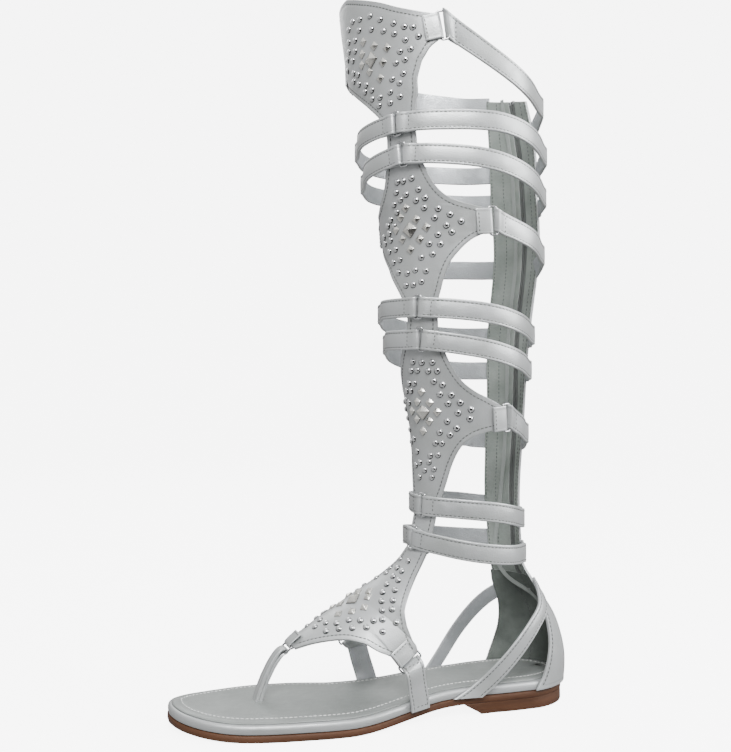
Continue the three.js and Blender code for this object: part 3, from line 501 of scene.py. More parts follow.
def on_shin(reach, z, out):
    faces = along(SHIN, z, 1)
    if reach >= 0:
        return on_leg(faces + turn_for(reach, z), z, out)
    fold = along(SHIN, z, 4)
    crest = on_leg(faces, z, 0)
    ahead = on_leg(faces, z, 1) - crest
    aside = Vector((-ahead.y, ahead.x, 0))
    bend = max(reach / fold, -0.98)
    straight = reach - bend * fold
    return (crest + ahead * ((fold + out) * cos(bend) - fold - straight * sin(bend))
            + aside * ((fold + out) * sin(bend) + straight * cos(bend)))


def distance_to(outline, point):
    start, step, squared = outline
    point = np.array(tuple(point))
    share = np.clip(((point - start) * step).sum(1) / squared, 0, 1)
    return float(np.sqrt((((start + step * share[:, None]) - point) ** 2).sum(1).min()))


def rim_of(surface, rows):
    chains = [[surface(u, i / rows, LEATHER) for i in range(rows + 1)] for u in (0, 1)]
    chains += [[surface(i / 24, v, LEATHER) for i in range(25)] for v in (0, 1)]
    start = np.array([tuple(p) for chain in chains for p in chain[:-1]])
    stop = np.array([tuple(p) for chain in chains for p in chain[1:]])
    step = stop - start
    return start, step, np.maximum((step ** 2).sum(1), 1e-9)


def doubled_grid(bm, columns, rows, crop=None):
    bmesh.ops.create_grid(bm, x_segments=columns, y_segments=rows, size=1)
    if crop:
        bmesh.ops.delete(bm, geom=[face for face in bm.faces if crop(face)], context="FACES")
    across, upward = bm.verts.layers.float.new("across"), bm.verts.layers.float.new("upward")
    for vert in bm.verts:
        vert[across], vert[upward] = (vert.co.x + 1) / 2, (vert.co.y + 1) / 2
    outside = set(verts_in(bmesh.ops.extrude_face_region(bm, geom=bm.faces[:])))
    return outside, across, upward


TURNED = 1.0  # width of the turned rim, which the groove of the stitches follows
FAR_FROM_EDGE = 9


def panel(surface, columns, rows, outline, thick=LEATHER):
    bm = bmesh.new()
    edge = bm.verts.layers.float.new("edge")
    outside, across, upward = doubled_grid(bm, columns, rows)
    for vert in bm.verts:
        u, v = vert[across], vert[upward]
        vert[edge], out = FAR_FROM_EDGE, 0
        if vert in outside:
            off = distance_to(outline, surface(u, v, LEATHER))
            vert[edge] = max(off - TURNED, 0.0) if off > 0.6 else off
            out = thick + 0.12 * (1 - exp(-off / 4)) - 0.2 * exp(-((off - TURNED - 1.7) / 0.6) ** 2)
        vert.co = surface(u, v, out)
    face_outward(bm)

    def layer(face):
        return sum(vert in outside for vert in face.verts)

    for face in bm.faces:
        face.material_index = 0 if layer(face) else 1
    sides = {face for face in bm.faces if 0 < layer(face) < len(face.verts)}
    rim = [item for item in bm.edges if sum(face in sides for face in item.link_faces) == 1]
    bmesh.ops.bevel(bm, geom=rim, offset=0.45, offset_type="OFFSET", segments=3, profile=0.5,
                    affect="EDGES", material=-1, clamp_overlap=True)
    return bm


def reach_at(u, side, count, least=0.0):
    full = max(side, least)
    near_rim = [0.0, 1.3, 2.6, 4.0]
    inner = [4.0 + (full - 4.0) * (i + 1) / (count - 3) for i in range(count - 3)]
    columns = (near_rim + inner)[::-1]
    column = abs(u - 0.5) * 2 * count
    k = min(int(column), count - 1)
    off = columns[k] * (1 - column + k) + columns[k + 1] * (column - k)
    reach = side - off * side / full
    return reach if u >= 0.5 else -reach


SHIN_ROWS = 5 * (len(SHIN) - 1)
SHIN_COLUMNS = 11


def shin_surface(u, v, out):
    place = min(v * (len(SHIN) - 1), len(SHIN) - 1.0001)
    low = SHIN[int(place)]
    z = low[0] + (SHIN[int(place) + 1][0] - low[0]) * (place - int(place))
    side = along(SHIN, z, 3 if u >= 0.5 else 2)
    return on_shin(reach_at(u, side, SHIN_COLUMNS), z, out)


def cloth(name, low, high):
    made, tree, principled = shader(name, low, 0.7)
    dress(tree, principled, tint(tree, noise(tree, 70, 4), low, high),
          span(tree, noise(tree, 300, 4), 0.62, 0.8, 0.3, 0.7), bump(tree, noise(tree, 500, 6), 0.0003, 0.5))
    principled.inputs["Specular IOR Level"].default_value = 0.35
    return made


lining = cloth("lining", (0.2, 0.225, 0.207), (0.25, 0.275, 0.256))
shin_rim = rim_of(shin_surface, SHIN_ROWS * 2)
shin = panel(shin_surface, SHIN_COLUMNS * 2, SHIN_ROWS, shin_rim)
finish("shin_piece", shin, [leather, lining], "upper")


def inside_line(surface, outline, left, inset, steps, low=0.0, high=1.0):
    line = []
    for i in range(steps + 1):
        v = low + (high - low) * i / steps
        near, far = (0.0, 0.5) if left else (1.0, 0.5)
        if distance_to(outline, surface(far, v, LEATHER)) < inset:
            continue
        for _ in range(9):
            middle = (near + far) / 2
            if distance_to(outline, surface(middle, v, LEATHER)) < inset:
                near = middle
            else:
                far = middle
        foot = surface(far, v, LEATHER)
        line.append((foot, surface(far, v, LEATHER + 1) - foot))
    return line


for left in (True, False):
    sew(inside_line(shin_surface, shin_rim, left, 2.7, 420))


# ---- Neck straps ----
# Six pairs of lined straps, sewn along both edges. Each pair meets on a chrome ring over a neck of the
# shin piece, where the strap ends are folded round the ring's bars and sewn down; the far ends are sewn
# on the back strip.
STRAP_WIDTH = 11.8
RING_WIDTH = 4.8
WIRE = 0.62
SECTION = ((0, 0), (0.12, 0.62), (0.42, 0.93), (0.95, 1.0), (1.7, 0.78), (2.45, 1.0))


def section(half, thick):
    high = thick / 2
    left = [(off - half, high * share, off) for off, share in SECTION]
    top = left + [(0, high * 1.06, half)] + [(-a, n, off) for a, n, off in reversed(left)]
    back = ((half - 0.42, 0.93), (half - 1.4, 1), (0, 1), (1.4 - half, 1), (0.42 - half, 0.93))
    return top + [(a, -high * share, FAR_FROM_EDGE) for a, share in back]


def band(rings, half, backed=0):
    bm = bmesh.new()
    station = loft(bm, rings)
    edge = bm.verts.layers.float.new("edge")
    off_edge = [off for a, n, off in section(half, 1)]
    for vert in bm.verts:
        vert[edge] = off_edge[vert[station]]
    for face in bm.faces:
        if all(vert[edge] == FAR_FROM_EDGE for vert in face.verts):
            face.material_index = backed
    close(bm)
    return bm


def frames_of(place, steps):
    spots = [place(i / steps) for i in range(steps + 1)]
    frames, run = [], 0.0
    for i, (point, out) in enumerate(spots):
        ahead = (spots[min(i + 1, steps)][0] - spots[max(i - 1, 0)][0]).normalized()
        out = square_to(out, ahead)
        if i:
            run += (point - spots[i - 1][0]).length
        frames.append((run, point, ahead, out))
    return frames


def frame_at(frames, s):
    i = 0
    while i < len(frames) - 2 and frames[i + 1][0] < s:
        i += 1
    a, b = frames[i], frames[i + 1]
    share = (s - a[0]) / (b[0] - a[0])
    point = a[1].lerp(b[1], share)
    ahead = a[2].lerp(b[2], min(max(share, 0), 1)).normalized()
    out = a[3].lerp(b[3], min(max(share, 0), 1))
    out = square_to(out, ahead)
    return point, ahead, out, ahead.cross(out)


FOLD = 8.0
CREASE = 3.4
CREASE_RUN = 11
SAG_RUN = 24
OUTER_SAG, INNER_SAG, WING_SAG = 4.6, 5.6, 4.2
OUTER_CREASE, INNER_CREASE = 151, 343
FOLD_RISE = ((8, 0.45), (6.2, 0.47), (4.9, 0.62), (3.7, 0.9), (2.6, 1.2), (1.4, 1.43))
FOLD_THICK = (0.9, 0.92, 0.96, 1.0, 1.05, 1.1)


def ease(x, low, high):
    t = min(max((x - low) / (high - low), 0), 1)
    return t * t * (3 - 2 * t)


def crease(turn, middle, sag):
    off = abs(turn - middle)
    return CREASE * exp(-off / CREASE_RUN) - sag * exp(-(off / SAG_RUN) ** 2)


def slanted(frames, s, slant):
    point, ahead, out, aside = frame_at(frames, s)
    return point, ahead, out, aside + ahead * slant * (1 - ease(s, 2, 16))


def half_turn(ahead, out, steps=8):
    angles = [-pi / 2 + pi * k / steps for k in range(steps + 1)]
    return [ahead * -cos(angle) + out * sin(angle) for angle in angles]


def folded_end(frames, slant=0.0):
    stops = []
    for (s, n), thick in zip(FOLD_RISE, FOLD_THICK):
        point, ahead, out, aside = slanted(frames, s, slant)
        stops.append((point - out * n, out * -1, aside, thick))
    point, ahead, out, aside = slanted(frames, 0, slant)
    stops += [(point + away * 1.5, away, aside, 1.1) for away in half_turn(ahead, out)]
    for (s, n), thick in zip(reversed(FOLD_RISE), reversed(FOLD_THICK)):
        point, ahead, out, aside = slanted(frames, s, slant)
        stops.append((point + out * n, out, aside, thick))
    return stops


def rings_at(stops, width):
    return [[point + aside * a + out * n for a, n, off in section(width / 2, deep)]
            for point, out, aside, deep in stops]


def strap(frames, width, stops=(), step=2.6, thick=LEATHER, slant=0.0):
    total = frames[-1][0]
    begin = FOLD + 0.3 if stops else 0.0
    count = max(int((total - begin) / step), 3)
    stations = list(stops)
    for i in range(count + 1):
        point, ahead, out, aside = slanted(frames, begin + (total - begin) * i / count, slant)
        stations.append((point, out, aside, thick))
    rings = rings_at(stations, width)
    point, ahead, out, aside = frame_at(frames, total + 0.35)
    rings.append([point + aside * a * 0.96 + out * n * 0.55 for a, n, off in section(width / 2, thick)])
    return band(rings, width / 2, backed=1)


def rise_over_fold(s):
    if s >= FOLD:
        return 0.0
    if s <= 1.4:
        return 1.05
    return next(n2 + (n1 - n2) * (s - s2) / (s1 - s2) for (s1, n1), (s2, n2)
                in zip(FOLD_RISE, FOLD_RISE[1:]) if s2 <= s <= s1) - 0.4


def sew_strap(frames, width, folded, slant=0.0):
    total = frames[-1][0]
    high = LEATHER / 2
    for hand in (-1, 1):
        line = []
        s = 1.2 if folded else 2.0
        while s < total - 1.5:
            point, ahead, out, aside = slanted(frames, s, slant)
            up = high * 0.8 + (rise_over_fold(s) if folded else 0)
            line.append((point + aside * hand * (width / 2 - 1.7) + out * up, out))
            s += 1.2
        sew(line)
    for s in ([6.0] if folded else []) + [total - 2.4]:
        point, ahead, out, aside = slanted(frames, s, slant)
        across = (-width / 2 + 1.9, 0, width / 2 - 1.9)
        sew([(point + aside * a + out * (high + 0.02), out) for a in across], (width - 3.8) / 3.5, 1.6)


def join(into, bm):
    mesh = mesh_of("part", bm)
    into.from_mesh(mesh)
    bpy.data.meshes.remove(mesh)


def upright_ring(place, z, out):
    centre = place(z, out)
    normal = place(z, out + 1) - centre
    bar = (place(z + 1, out) - place(z - 1, out)).normalized()
    normal = square_to(normal, bar)
    return centre, bar.cross(normal), bar, normal


chrome, tree, principled = shader("chrome", (0.62, 0.63, 0.64), 0.12, 1.0)
dress(tree, principled, tint(tree, noise(tree, 220, 3), (0.54, 0.55, 0.56), (0.68, 0.69, 0.7)),
      span(tree, noise(tree, 700, 4), 0.07, 0.2, 0.3, 0.7), bump(tree, noise(tree, 900, 3), 0.00004, 0.3))


def placed(axes):
    centre, across, bar, normal = axes
    return Matrix.Translation(centre) @ Matrix((across, bar, normal)).transposed().to_4x4()


def ring_of_wire(name, axes, height):
    centre, across, bar, normal = axes
    corner = 1.5
    rings = []
    for quarter, (right, up) in enumerate(((1, 1), (-1, 1), (-1, -1), (1, -1))):
        for step in range(6):
            turn = (quarter + step / 5) * pi / 2
            out = across * cos(turn) + bar * sin(turn)
            middle = (centre + across * right * (RING_WIDTH / 2 - corner)
                      + bar * up * (height / 2 - corner) + out * corner)
            rings.append([middle + out * WIRE * cos(2 * pi * k / 10) + normal * WIRE * sin(2 * pi * k / 10)
                          for k in range(10)])
    bm = bmesh.new()
    loft(bm, rings + rings[:1])
    close(bm)
    finish(name, bm, [chrome], name)


BACK = (  # height, turn of the inner edge, the zip and the outer edge
    (66, 229, 189, 160), (76, 226, 191, 171), (86, 222, 191.4, 178), (100, 223, 191.6, 180),
    (124, 227, 192.4, 180.6), (155, 227.4, 193, 180.4), (190, 224, 192, 178.6), (230, 221.6, 192.4, 176.4),
    (280, 220.6, 193, 175.8), (330, 220.4, 195, 180), (360, 219, 196.6, 181), (391, 217, 198, 186),
)
NECK_STRAPS = (  # name, turn of the ring, heights: ring, outer, outer back, inner back, inner, inner front
    ("ankle", 16, 105, 97, 93.6, 96.6, 97.4, 104),
    ("low", 23.5, 124.6, 121.4, 115, 119, 121, 124.6),
    ("middle_low", 42.6, 222.6, 216.6, 206.4, 207, 208.4, 222),
    ("middle_high", 42.4, 241.2, 237.4, 228, 230, 231.4, 241),
    ("high_low", 40.6, 328.2, 324.4, 312.6, 321.4, 323.6, 322.4),
    ("high", 39, 345.6, 346, 337.6, 341, 343, 342.4),
)


def neck_place(first, last, rows, corner, sag, lifted, settling):
    hand = 1 if last > first else -1

    def place(u):
        turn = first + (last - first) * u
        z = along(rows, turn, 1)
        lift = (1.4 * ease(12 - abs(turn - last + hand), 0, 8.4)
                + 2.6 * ease(lifted - abs(turn - first), 0, settling)
                + crease(turn, corner, sag) * ease(abs(last - turn), 2, 15))
        foot = on_leg(turn, z, lift + 0.9)
        return foot, on_leg(turn, z, lift + 1.9) - foot
    return place


backing = silver("strap_backing", (0.38, 0.4, 0.415), (0.5, 0.52, 0.54), 0.5, (0.3, 0.6), 0.9)
for name, faces, z0, outer, outer_back, inner_back, inner, inner_front in NECK_STRAPS:
    axes = upright_ring(lambda z, out: on_leg(faces, z, out), z0, LEATHER / 2 + 2.6)
    ring_of_wire("ring_" + name, axes, STRAP_WIDTH + 1.8)
    start = turn_for(RING_WIDTH / 2, z0)
    outer_rows = ((faces, z0), (90, outer), (145, outer_back), (190, outer_back - 1.5))
    inner_rows = ((214, inner_back), (222, inner_back), (262, inner), (345, inner_front), (faces + 360, z0))
    outer_end = along(BACK, outer_back, 3) + 5
    inner_end = along(BACK, inner_back, 1) - 5

    sides = (
        ("outer", neck_place(faces + start, outer_end, outer_rows, OUTER_CREASE, OUTER_SAG, 30, 24)),
        ("inner", neck_place(faces - start + 360, inner_end, inner_rows, INNER_CREASE, INNER_SAG, 50, 26)),
    )
    for hand, place in sides:
        frames = frames_of(place, 120)
        made = strap(frames, STRAP_WIDTH, folded_end(frames))
        finish(f"neck_strap_{name}_{hand}", made, [leather, backing], "upper")
        sew_strap(frames, STRAP_WIDTH, True)


# ---- Wing straps ----
# Wider straps of the same lined leather run from the wings of each shin panel round to the back strip.
# A short band of leather folded through the ring is sewn round each wing's end.
WING_STRAP_WIDTH = 12.4
WING_BAND_WIDTH = 14.6
BAND_RISE = ((8.4, -0.2), (8, 0), (6.6, 0), (5, 0.06), (3.4, 0.2), (2, 0.22), (0.8, 0.18))
WING_STRAPS = (  # name, reach and height of the ring, turn and height at the side and at the back strip
    ("low_outer", 50.6, 177, 130, 170.6, 186, 161.4), ("low_inner", -50.6, 177, 262, 164, 226, 161.6),
    ("middle_outer", 50.6, 290.2, 124, 281.8, 187, 270), ("middle_inner", -50.6, 290.2, 268, 277, 218, 275),
    ("high_outer", 51.6, 398.6, 116, 373, 187, 361), ("high_inner", -50.6, 389.6, 264, 394, 217, 387),
)


def curve_through(points, t):
    last = len(points) - 1
    i = min(int(t * last), last - 1)
    f = t * last - i
    p1, p2 = points[i], points[i + 1]
    p0 = points[i - 1] if i else 2 * p1 - p2
    p3 = points[i + 2] if i + 2 <= last else 2 * p2 - p1
    t0, t1, t2 = (sqrt((b - a).length) for a, b in ((p0, p1), (p1, p2), (p2, p3)))
    m1 = ((p1 - p0) / t0 - (p2 - p0) / (t0 + t1) + (p2 - p1) / t1) * t1
    m2 = ((p2 - p1) / t1 - (p3 - p1) / (t1 + t2) + (p3 - p2) / t2) * t1
    return p1 + m1 * f + (3 * (p2 - p1) - 2 * m1 - m2) * f * f + (2 * (p1 - p2) + m1 + m2) * f ** 3


def heading(points, t):
    return curve_through(points, min(t + 0.01, 1)) - curve_through(points, max(t - 0.01, 0))


def leg_turn(point):
    depth = along(LEG, point.z, 2)
    middle = along(LEG, point.z, 1) + depth
    return degrees(atan2(point.y / along(LEG, point.z, 3), (point.x - middle) / depth))


def leg_out(point):
    out = point - Vector((along(LEG, point.z, 1) + along(LEG, point.z, 2), 0, point.z))
    return out.normalized()


def leg_normal(point):
    turn, z = leg_turn(point), point.z
    side = on_leg(turn + 1, z, 0) - on_leg(turn - 1, z, 0)
    return side.cross(on_leg(turn, z + 1, 0) - on_leg(turn, z - 1, 0)).normalized()


def wing_ring(reach, z):
    centre, across, bar, normal = upright_ring(lambda z, out: on_shin(reach, z, out), z, LEATHER / 2)
    bar = (bar + Vector((0, 0, 1.4))).normalized()
    normal = square_to(normal, bar)
    return centre, bar.cross(normal), bar, normal


def end_band(name, axes, hand, width):
    centre, across, bar, normal = axes
    bar_middle = centre + across * hand * RING_WIDTH / 2
    ahead, aside = across * hand, across.cross(normal) * hand
    half = LEATHER / 2 + 0.45
    leaf = [(s, half + rise) for s, rise in BAND_RISE]
    stops = [(bar_middle + ahead * s - normal * n, normal * -1, aside, 0.9) for s, n in leaf]
    stops += [(bar_middle + away * (half + 0.15), away, aside, 0.9) for away in half_turn(ahead, normal)]
    stops += [(bar_middle + ahead * s + normal * n, normal, aside, 0.9) for s, n in reversed(leaf)]
    rings = rings_at(stops, width)
    finish(name, band(rings, width / 2), [leather], "upper")
    sew([(bar_middle + ahead * 7.1 + normal * (half + 0.46) + aside * a, normal)
         for a in (-width / 2 + 0.8, 0, width / 2 - 0.8)], (width - 1.6) / 5.5, 1.5)


for name, reach, z0, side, side_z, end, end_z in WING_STRAPS:
    hand = 1 if reach > 0 else -1
    axes = wing_ring(reach, z0)
    centre, across, bar, normal = axes
    ring_of_wire("ring_wing_" + name, axes, WING_BAND_WIDTH + 1.7)
    end_band(f"wing_band_{name}", axes, -hand, WING_BAND_WIDTH)
    start = centre + across * hand * RING_WIDTH / 2 - normal * 0.9
    between = on_leg((side + end) / 2, (side_z + end_z) / 2, 0)
    before_end = on_leg(end - hand * 16, end_z + (side_z - end_z) * 0.3, 0.4)
    route = [start, on_leg(side, side_z, 0), between, before_end, on_leg(end, end_z, 1.5)]

    def wing_place(u):
        point = curve_through(route, u)
        out = leg_out(point)
        share = ease(u, 0, 0.12)
        out = (normal * (1 - share) + out * share).normalized()
        bend = crease(leg_turn(point), OUTER_CREASE, WING_SAG) * ease(1 - u, 0.04, 0.2) if hand > 0 else 0
        return point + out * (0.9 + bend), out

    frames = frames_of(wing_place, 110)
    point, ahead, out, aside = frame_at(frames, 2)
    slant = bar.dot(ahead) / bar.dot(aside)
    made = strap(frames, WING_STRAP_WIDTH, folded_end(frames, slant), slant=slant)
    finish(f"wing_strap_{name}", made, [leather, backing], "upper")
    sew_strap(frames, WING_STRAP_WIDTH, True, slant=slant)


# ---- Back strip ----
# Two long strips of lined leather stand up the back of the leg, one on each side of the zip. Both edges
# of each are turned and sewn, and a pale piping is sewn inside, beside the zip and round over the heel.
ZIP_SLOT = 5.0
BACK_TOPS = ((386.4, 390.4), (382.4, 385.4))


def back_surface(inner):
    def surface(u, v, out):
        low, high = BACK_TOPS[0 if inner else 1]
        z = BACK[0][0] + (low + (high - low) * u - BACK[0][0]) * v
        zip_turn = along(BACK, z, 2)
        half = turn_for(ZIP_SLOT / 2, max(z, 84))
        near, far = (zip_turn + half, along(BACK, z, 1)) if inner else (along(BACK, z, 3), zip_turn - half)
        return on_leg(near + (far - near) * u, z, out + 0.5 * ease(80 - z, 0, 5))
    return surface


for inner in (True, False):
    surface = back_surface(inner)
    outline = rim_of(surface, 160)
    bm = panel(surface, 14, 150, outline)
    name = "back_strip_inner" if inner else "back_strip_outer"
    finish(name, bm, [leather, lining], "upper")
    for left in (True, False):
        sew(inside_line(surface, outline, left, 2.2, 150))
        line = []
        for i in range(151):
            v = i / 150
            share = (0.56 if left else 0.93) if inner else (0.5 if left else 0.1)
            foot = surface(share, v, -0.05)
            line.append((foot, foot - surface(share, v, 1)))
        sew(line)
facing_leather = silver("facing_leather", (0.3, 0.325, 0.31), (0.36, 0.385, 0.37), 0.2, (0.45, 0.6), 0.5)
PIPING = (  # height, distance from the zip
    (53, -3), (59, -1.4), (63, 1.2), (66, 5.4), (68.6, 10), (72, 13.4), (77, 15), (84, 15.4), (96, 14.6),
    (110, 12), (126, 9.2), (150, 7.2), (388.4, 7.2),
)


def piping_place(u):
    z = PIPING[0][0] + (PIPING[-1][0] - PIPING[0][0]) * u
    turn = along(BACK, z, 2) + turn_for(along(PIPING, z, 1), max(z, 84))
    foot = on_leg(turn, z, -0.25)
    return foot, foot - on_leg(turn, z, 0.75)


finish("zip_facing_piping", strap(frames_of(piping_place, 300), 2.2, step=1.8, thick=1.2),
       [facing_leather, facing_leather], None)


# ---- Zip ----
# A woven tape with metal teeth closed all the way up the back, a slider near the top, and small stops at
# both ends. The pull tab hangs on the slider's lug and swings on its pin.
ZIP_TOP, ZIP_FOOT = 386, 64
SLIDER_Z = ZIP_TOP - 6.4
ZIP_STOPS = (  # height, place across and size
    (ZIP_TOP - 1.1, -1.3, (1.5, 2.4, 1.7)), (ZIP_TOP - 1.1, 1.3, (1.5, 2.4, 1.7)),
    (ZIP_FOOT + 1.8, 0, (3.2, 2.2, 1.5)),
)


def zip_turn(z, offset):
    return along(BACK, z, 2) + turn_for(offset, max(z, 84))


def tape_surface(u, v, out):
    z = ZIP_FOOT + 0.3 + (ZIP_TOP - ZIP_FOOT - 0.3) * v
    return on_leg(zip_turn(z, (u - 0.5) * 4.4), z, out + 0.2)


# The tape is dark all over: partly its own colour, partly painted shade standing in for the shadowed gap
# beside the teeth.
weave, tree, principled = shader("zip_weave", (0.08, 0.088, 0.084), 0.8)
principled.inputs["Sheen Weight"].default_value = 0.3
weave_place = node_of(tree, "ShaderNodeTexCoord")
weave_rows = node_of(tree, "ShaderNodeTexWave", Scale=420, Distortion=0.6, bands_direction="Z")
tree.links.new(weave_place.outputs["Object"], weave_rows.inputs["Vector"])
picks = weave_rows.outputs["Fac"]
dress(tree, principled, tint(tree, picks, (0.05, 0.056, 0.053), (0.09, 0.1, 0.095), 0, 1),
      normal=bump(tree, picks, 0.0002, 0.8))

tape = bmesh.new()
outside, across, upward = doubled_grid(tape, 7, 110, lambda face: abs(face.calc_center_median().x) < 0.1)
for vert in tape.verts:
    vert.co = tape_surface(vert[across], vert[upward], 0.8 if vert in outside else 0)
face_outward(tape)
finish("zip_tape", tape, [weave], "zip_tape")

tooth_metal, tree, principled = shader("tooth_metal", (0.42, 0.43, 0.43), 0.3, 1.0)
dress(tree, principled, tint(tree, noise(tree, 400, 3), (0.3, 0.31, 0.31), (0.5, 0.51, 0.51)),
      span(tree, noise(tree, 900, 3), 0.22, 0.42))
tooth = bmesh.new()
bmesh.ops.create_cube(tooth, size=1)
bmesh.ops.scale(tooth, vec=(1.9, 0.62, 0.9), verts=tooth.verts)
round_off(tooth, [edge for edge in tooth.edges if min(vert.co.z for vert in edge.verts) > 0], 0.14, 1)
tooth_mesh = mesh_of("tooth", tooth)


def place_copies(mesh, places, name, materials, node):
    whole = bmesh.new()
    for place in places:
        copy = mesh.copy()
        copy.transform(place)
        whole.from_mesh(copy)
        bpy.data.meshes.remove(copy)
    finish(name, whole, materials, node)


def stood_on(foot, above, ahead_point):
    out = (above - foot).normalized()
    ahead = square_to(ahead_point - foot, out)
    return placed((foot, ahead.cross(out), ahead, out))


tooth_places = []
z = ZIP_FOOT + 3.0
while z < ZIP_TOP - 13:
    for hand in (-1, 1):
        turn = zip_turn(z, hand * 0.42)
        ahead = on_leg(zip_turn(z + 1, hand * 0.42), z + 1, 1.75)
        tooth_places.append(stood_on(on_leg(turn, z, 1.75), on_leg(turn, z, 2.75), ahead))
        z += 0.78
place_copies(tooth_mesh, tooth_places, "zip_teeth", [tooth_metal], "zip_teeth")

def on_zip(z, out):
    return on_leg(zip_turn(z, 0), z, out)


slider_place = placed(upright_ring(on_zip, SLIDER_Z, 2.2))


def block(size, middle, round_by):
    bm = bmesh.new()
    bmesh.ops.create_cube(bm, size=1)
    bmesh.ops.scale(bm, vec=size, verts=bm.verts)
    bmesh.ops.translate(bm, vec=middle, verts=bm.verts)
    round_off(bm, bm.edges[:], round_by, 3)
    return bm


slider = bmesh.new()
for plate in (block((3.9, 9, 0.62), (0, 0, 0.59), 0.25), block((3.7, 8.8, 0.5), (0, 0, -0.62), 0.2)):
    for vert in plate.verts:
        vert.co.x *= 1 - 0.26 * ease(-vert.co.y, -1.5, 4.5)
    join(slider, plate)
join(slider, block((1.5, 3.0, 0.9), (0, 2.6, 0), 0.2))
for hand in (-1, 1):
    join(slider, block((0.5, 7.6, 0.6), (hand * 1.62, -0.2, 0.28), 0.15))
LUG_HALF, LUG_WIRE, LUG_WIDTH = 1.9, 0.4, 0.52
LUG = ((-1.85, 1.5), (-1.55, 2.25), (-0.9, 2.78), (0, 2.95),
       (0.9, 2.78), (1.55, 2.25), (1.85, 1.5), (1.9, 0.7))
around = [(sin(pi * k / 5), cos(pi * k / 5)) for k in range(10)]
lug_rings = [[Vector((LUG_WIDTH * a, -LUG_HALF, LUG[-1][1] + LUG_WIRE * b)) for a, b in around]]
for y, z in LUG:
    turn = pi * (1 - (y + LUG_HALF) / LUG_HALF / 2)
    lug_rings.append([Vector((LUG_WIDTH * a, y - LUG_WIRE * b * cos(turn), z + LUG_WIRE * b * sin(turn)))
                      for a, b in around])
lug = bmesh.new()
loft(lug, lug_rings)
close(lug)
join(slider, lug)
bmesh.ops.transform(slider, matrix=slider_place, verts=slider.verts)
finish("zip_slider", slider, [chrome], "zip_slider")

stops = bmesh.new()
for z, across, size in ZIP_STOPS:
    stop = block(size, (across, 0, 0), 0.3)
    bmesh.ops.transform(stop, matrix=placed(upright_ring(on_zip, z, 0.75)), verts=stop.verts)
    join(stops, stop)
finish("zip_stops", stops, [tooth_metal], None)

PULL_LENGTH, PULL_END = 15, 3
pull_outline = [(-2.3, 0.9), *[(-PULL_END * cos(pi * k / 8), -PULL_LENGTH - PULL_END * sin(pi * k / 8))
                               for k in range(9)],
                (2.3, 0.9), (1.15, 0.9), (1.3, -6.4), (-1.3, -6.4), (-1.15, 0.9)]
pull = bmesh.new()
corners = [pull.verts.new((x, y, 1.4)) for x, y in pull_outline]
for a, b in zip(corners, corners[1:] + corners[:1]):
    pull.edges.new((a, b))
bmesh.ops.triangle_fill(pull, use_beauty=True, use_dissolve=True, edges=pull.edges[:])
pull_top = verts_in(bmesh.ops.extrude_face_region(pull, geom=pull.faces[:]))
bmesh.ops.translate(pull, vec=(0, 0, 1), verts=pull_top)
face_outward(pull)
round_off(pull, [edge for edge in pull.edges if edge.calc_face_angle(0) > radians(60)
                 and abs(edge.verts[0].co.z - edge.verts[1].co.z) < 0.1], 0.22, 2)
pin = bmesh.new()
bmesh.ops.create_cone(pin, cap_ends=True, segments=14, radius1=0.5, radius2=0.5, depth=3.6)
bmesh.ops.rotate(pin, cent=(0, 0, 0), matrix=Matrix.Rotation(pi / 2, 3, "Y"), verts=pin.verts)
bmesh.ops.translate(pin, vec=(0, 0, 1.9), verts=pin.verts)
join(pull, pin)
bmesh.ops.transform(pull, matrix=slider_place, verts=pull.verts)
finish("zip_pull", pull, [chrome], "zip_pull", body="zip_pull")


# ---- Heel counter ----
# A cup of lined leather stands round the heel. Its two front edges are cut low and sewn, and its top
# runs into the back strip.
COUNTER = (  # height, turn of the inner and the outer front edge
    (11.3, 270, 104), (15, 268, 107), (20, 264, 112), (30, 256, 119), (40, 248, 126), (50, 242, 131),
    (60, 237, 137), (68, 232.6, 152), (76, 227, 170),
)


def counter_surface(u, v, out):
    z = COUNTER[0][0] + (COUNTER[-1][0] - COUNTER[0][0]) * v
    outer, inner = along(COUNTER, z, 2), along(COUNTER, z, 1)
    return on_leg(outer + (inner - outer) * u, z, out)


dark_lining = cloth("heel_lining", (0.078, 0.09, 0.082), (0.118, 0.133, 0.122))
counter_rim = rim_of(counter_surface, 60)
counter = panel(counter_surface, 36, 40, counter_rim, thick=LEATHER - 0.1)
finish("heel_counter", counter, [leather, dark_lining], "upper")
for left in (True, False):
    sew(inside_line(counter_surface, counter_rim, left, 2.2, 60, 0.04, 0.96))
for share in (0.3, 0.47, 0.72):
    sew([(counter_surface(share, i / 30, -0.05), counter_surface(share, i / 30, -0.05)
          - counter_surface(share, i / 30, 1)) for i in range(1, 29)])


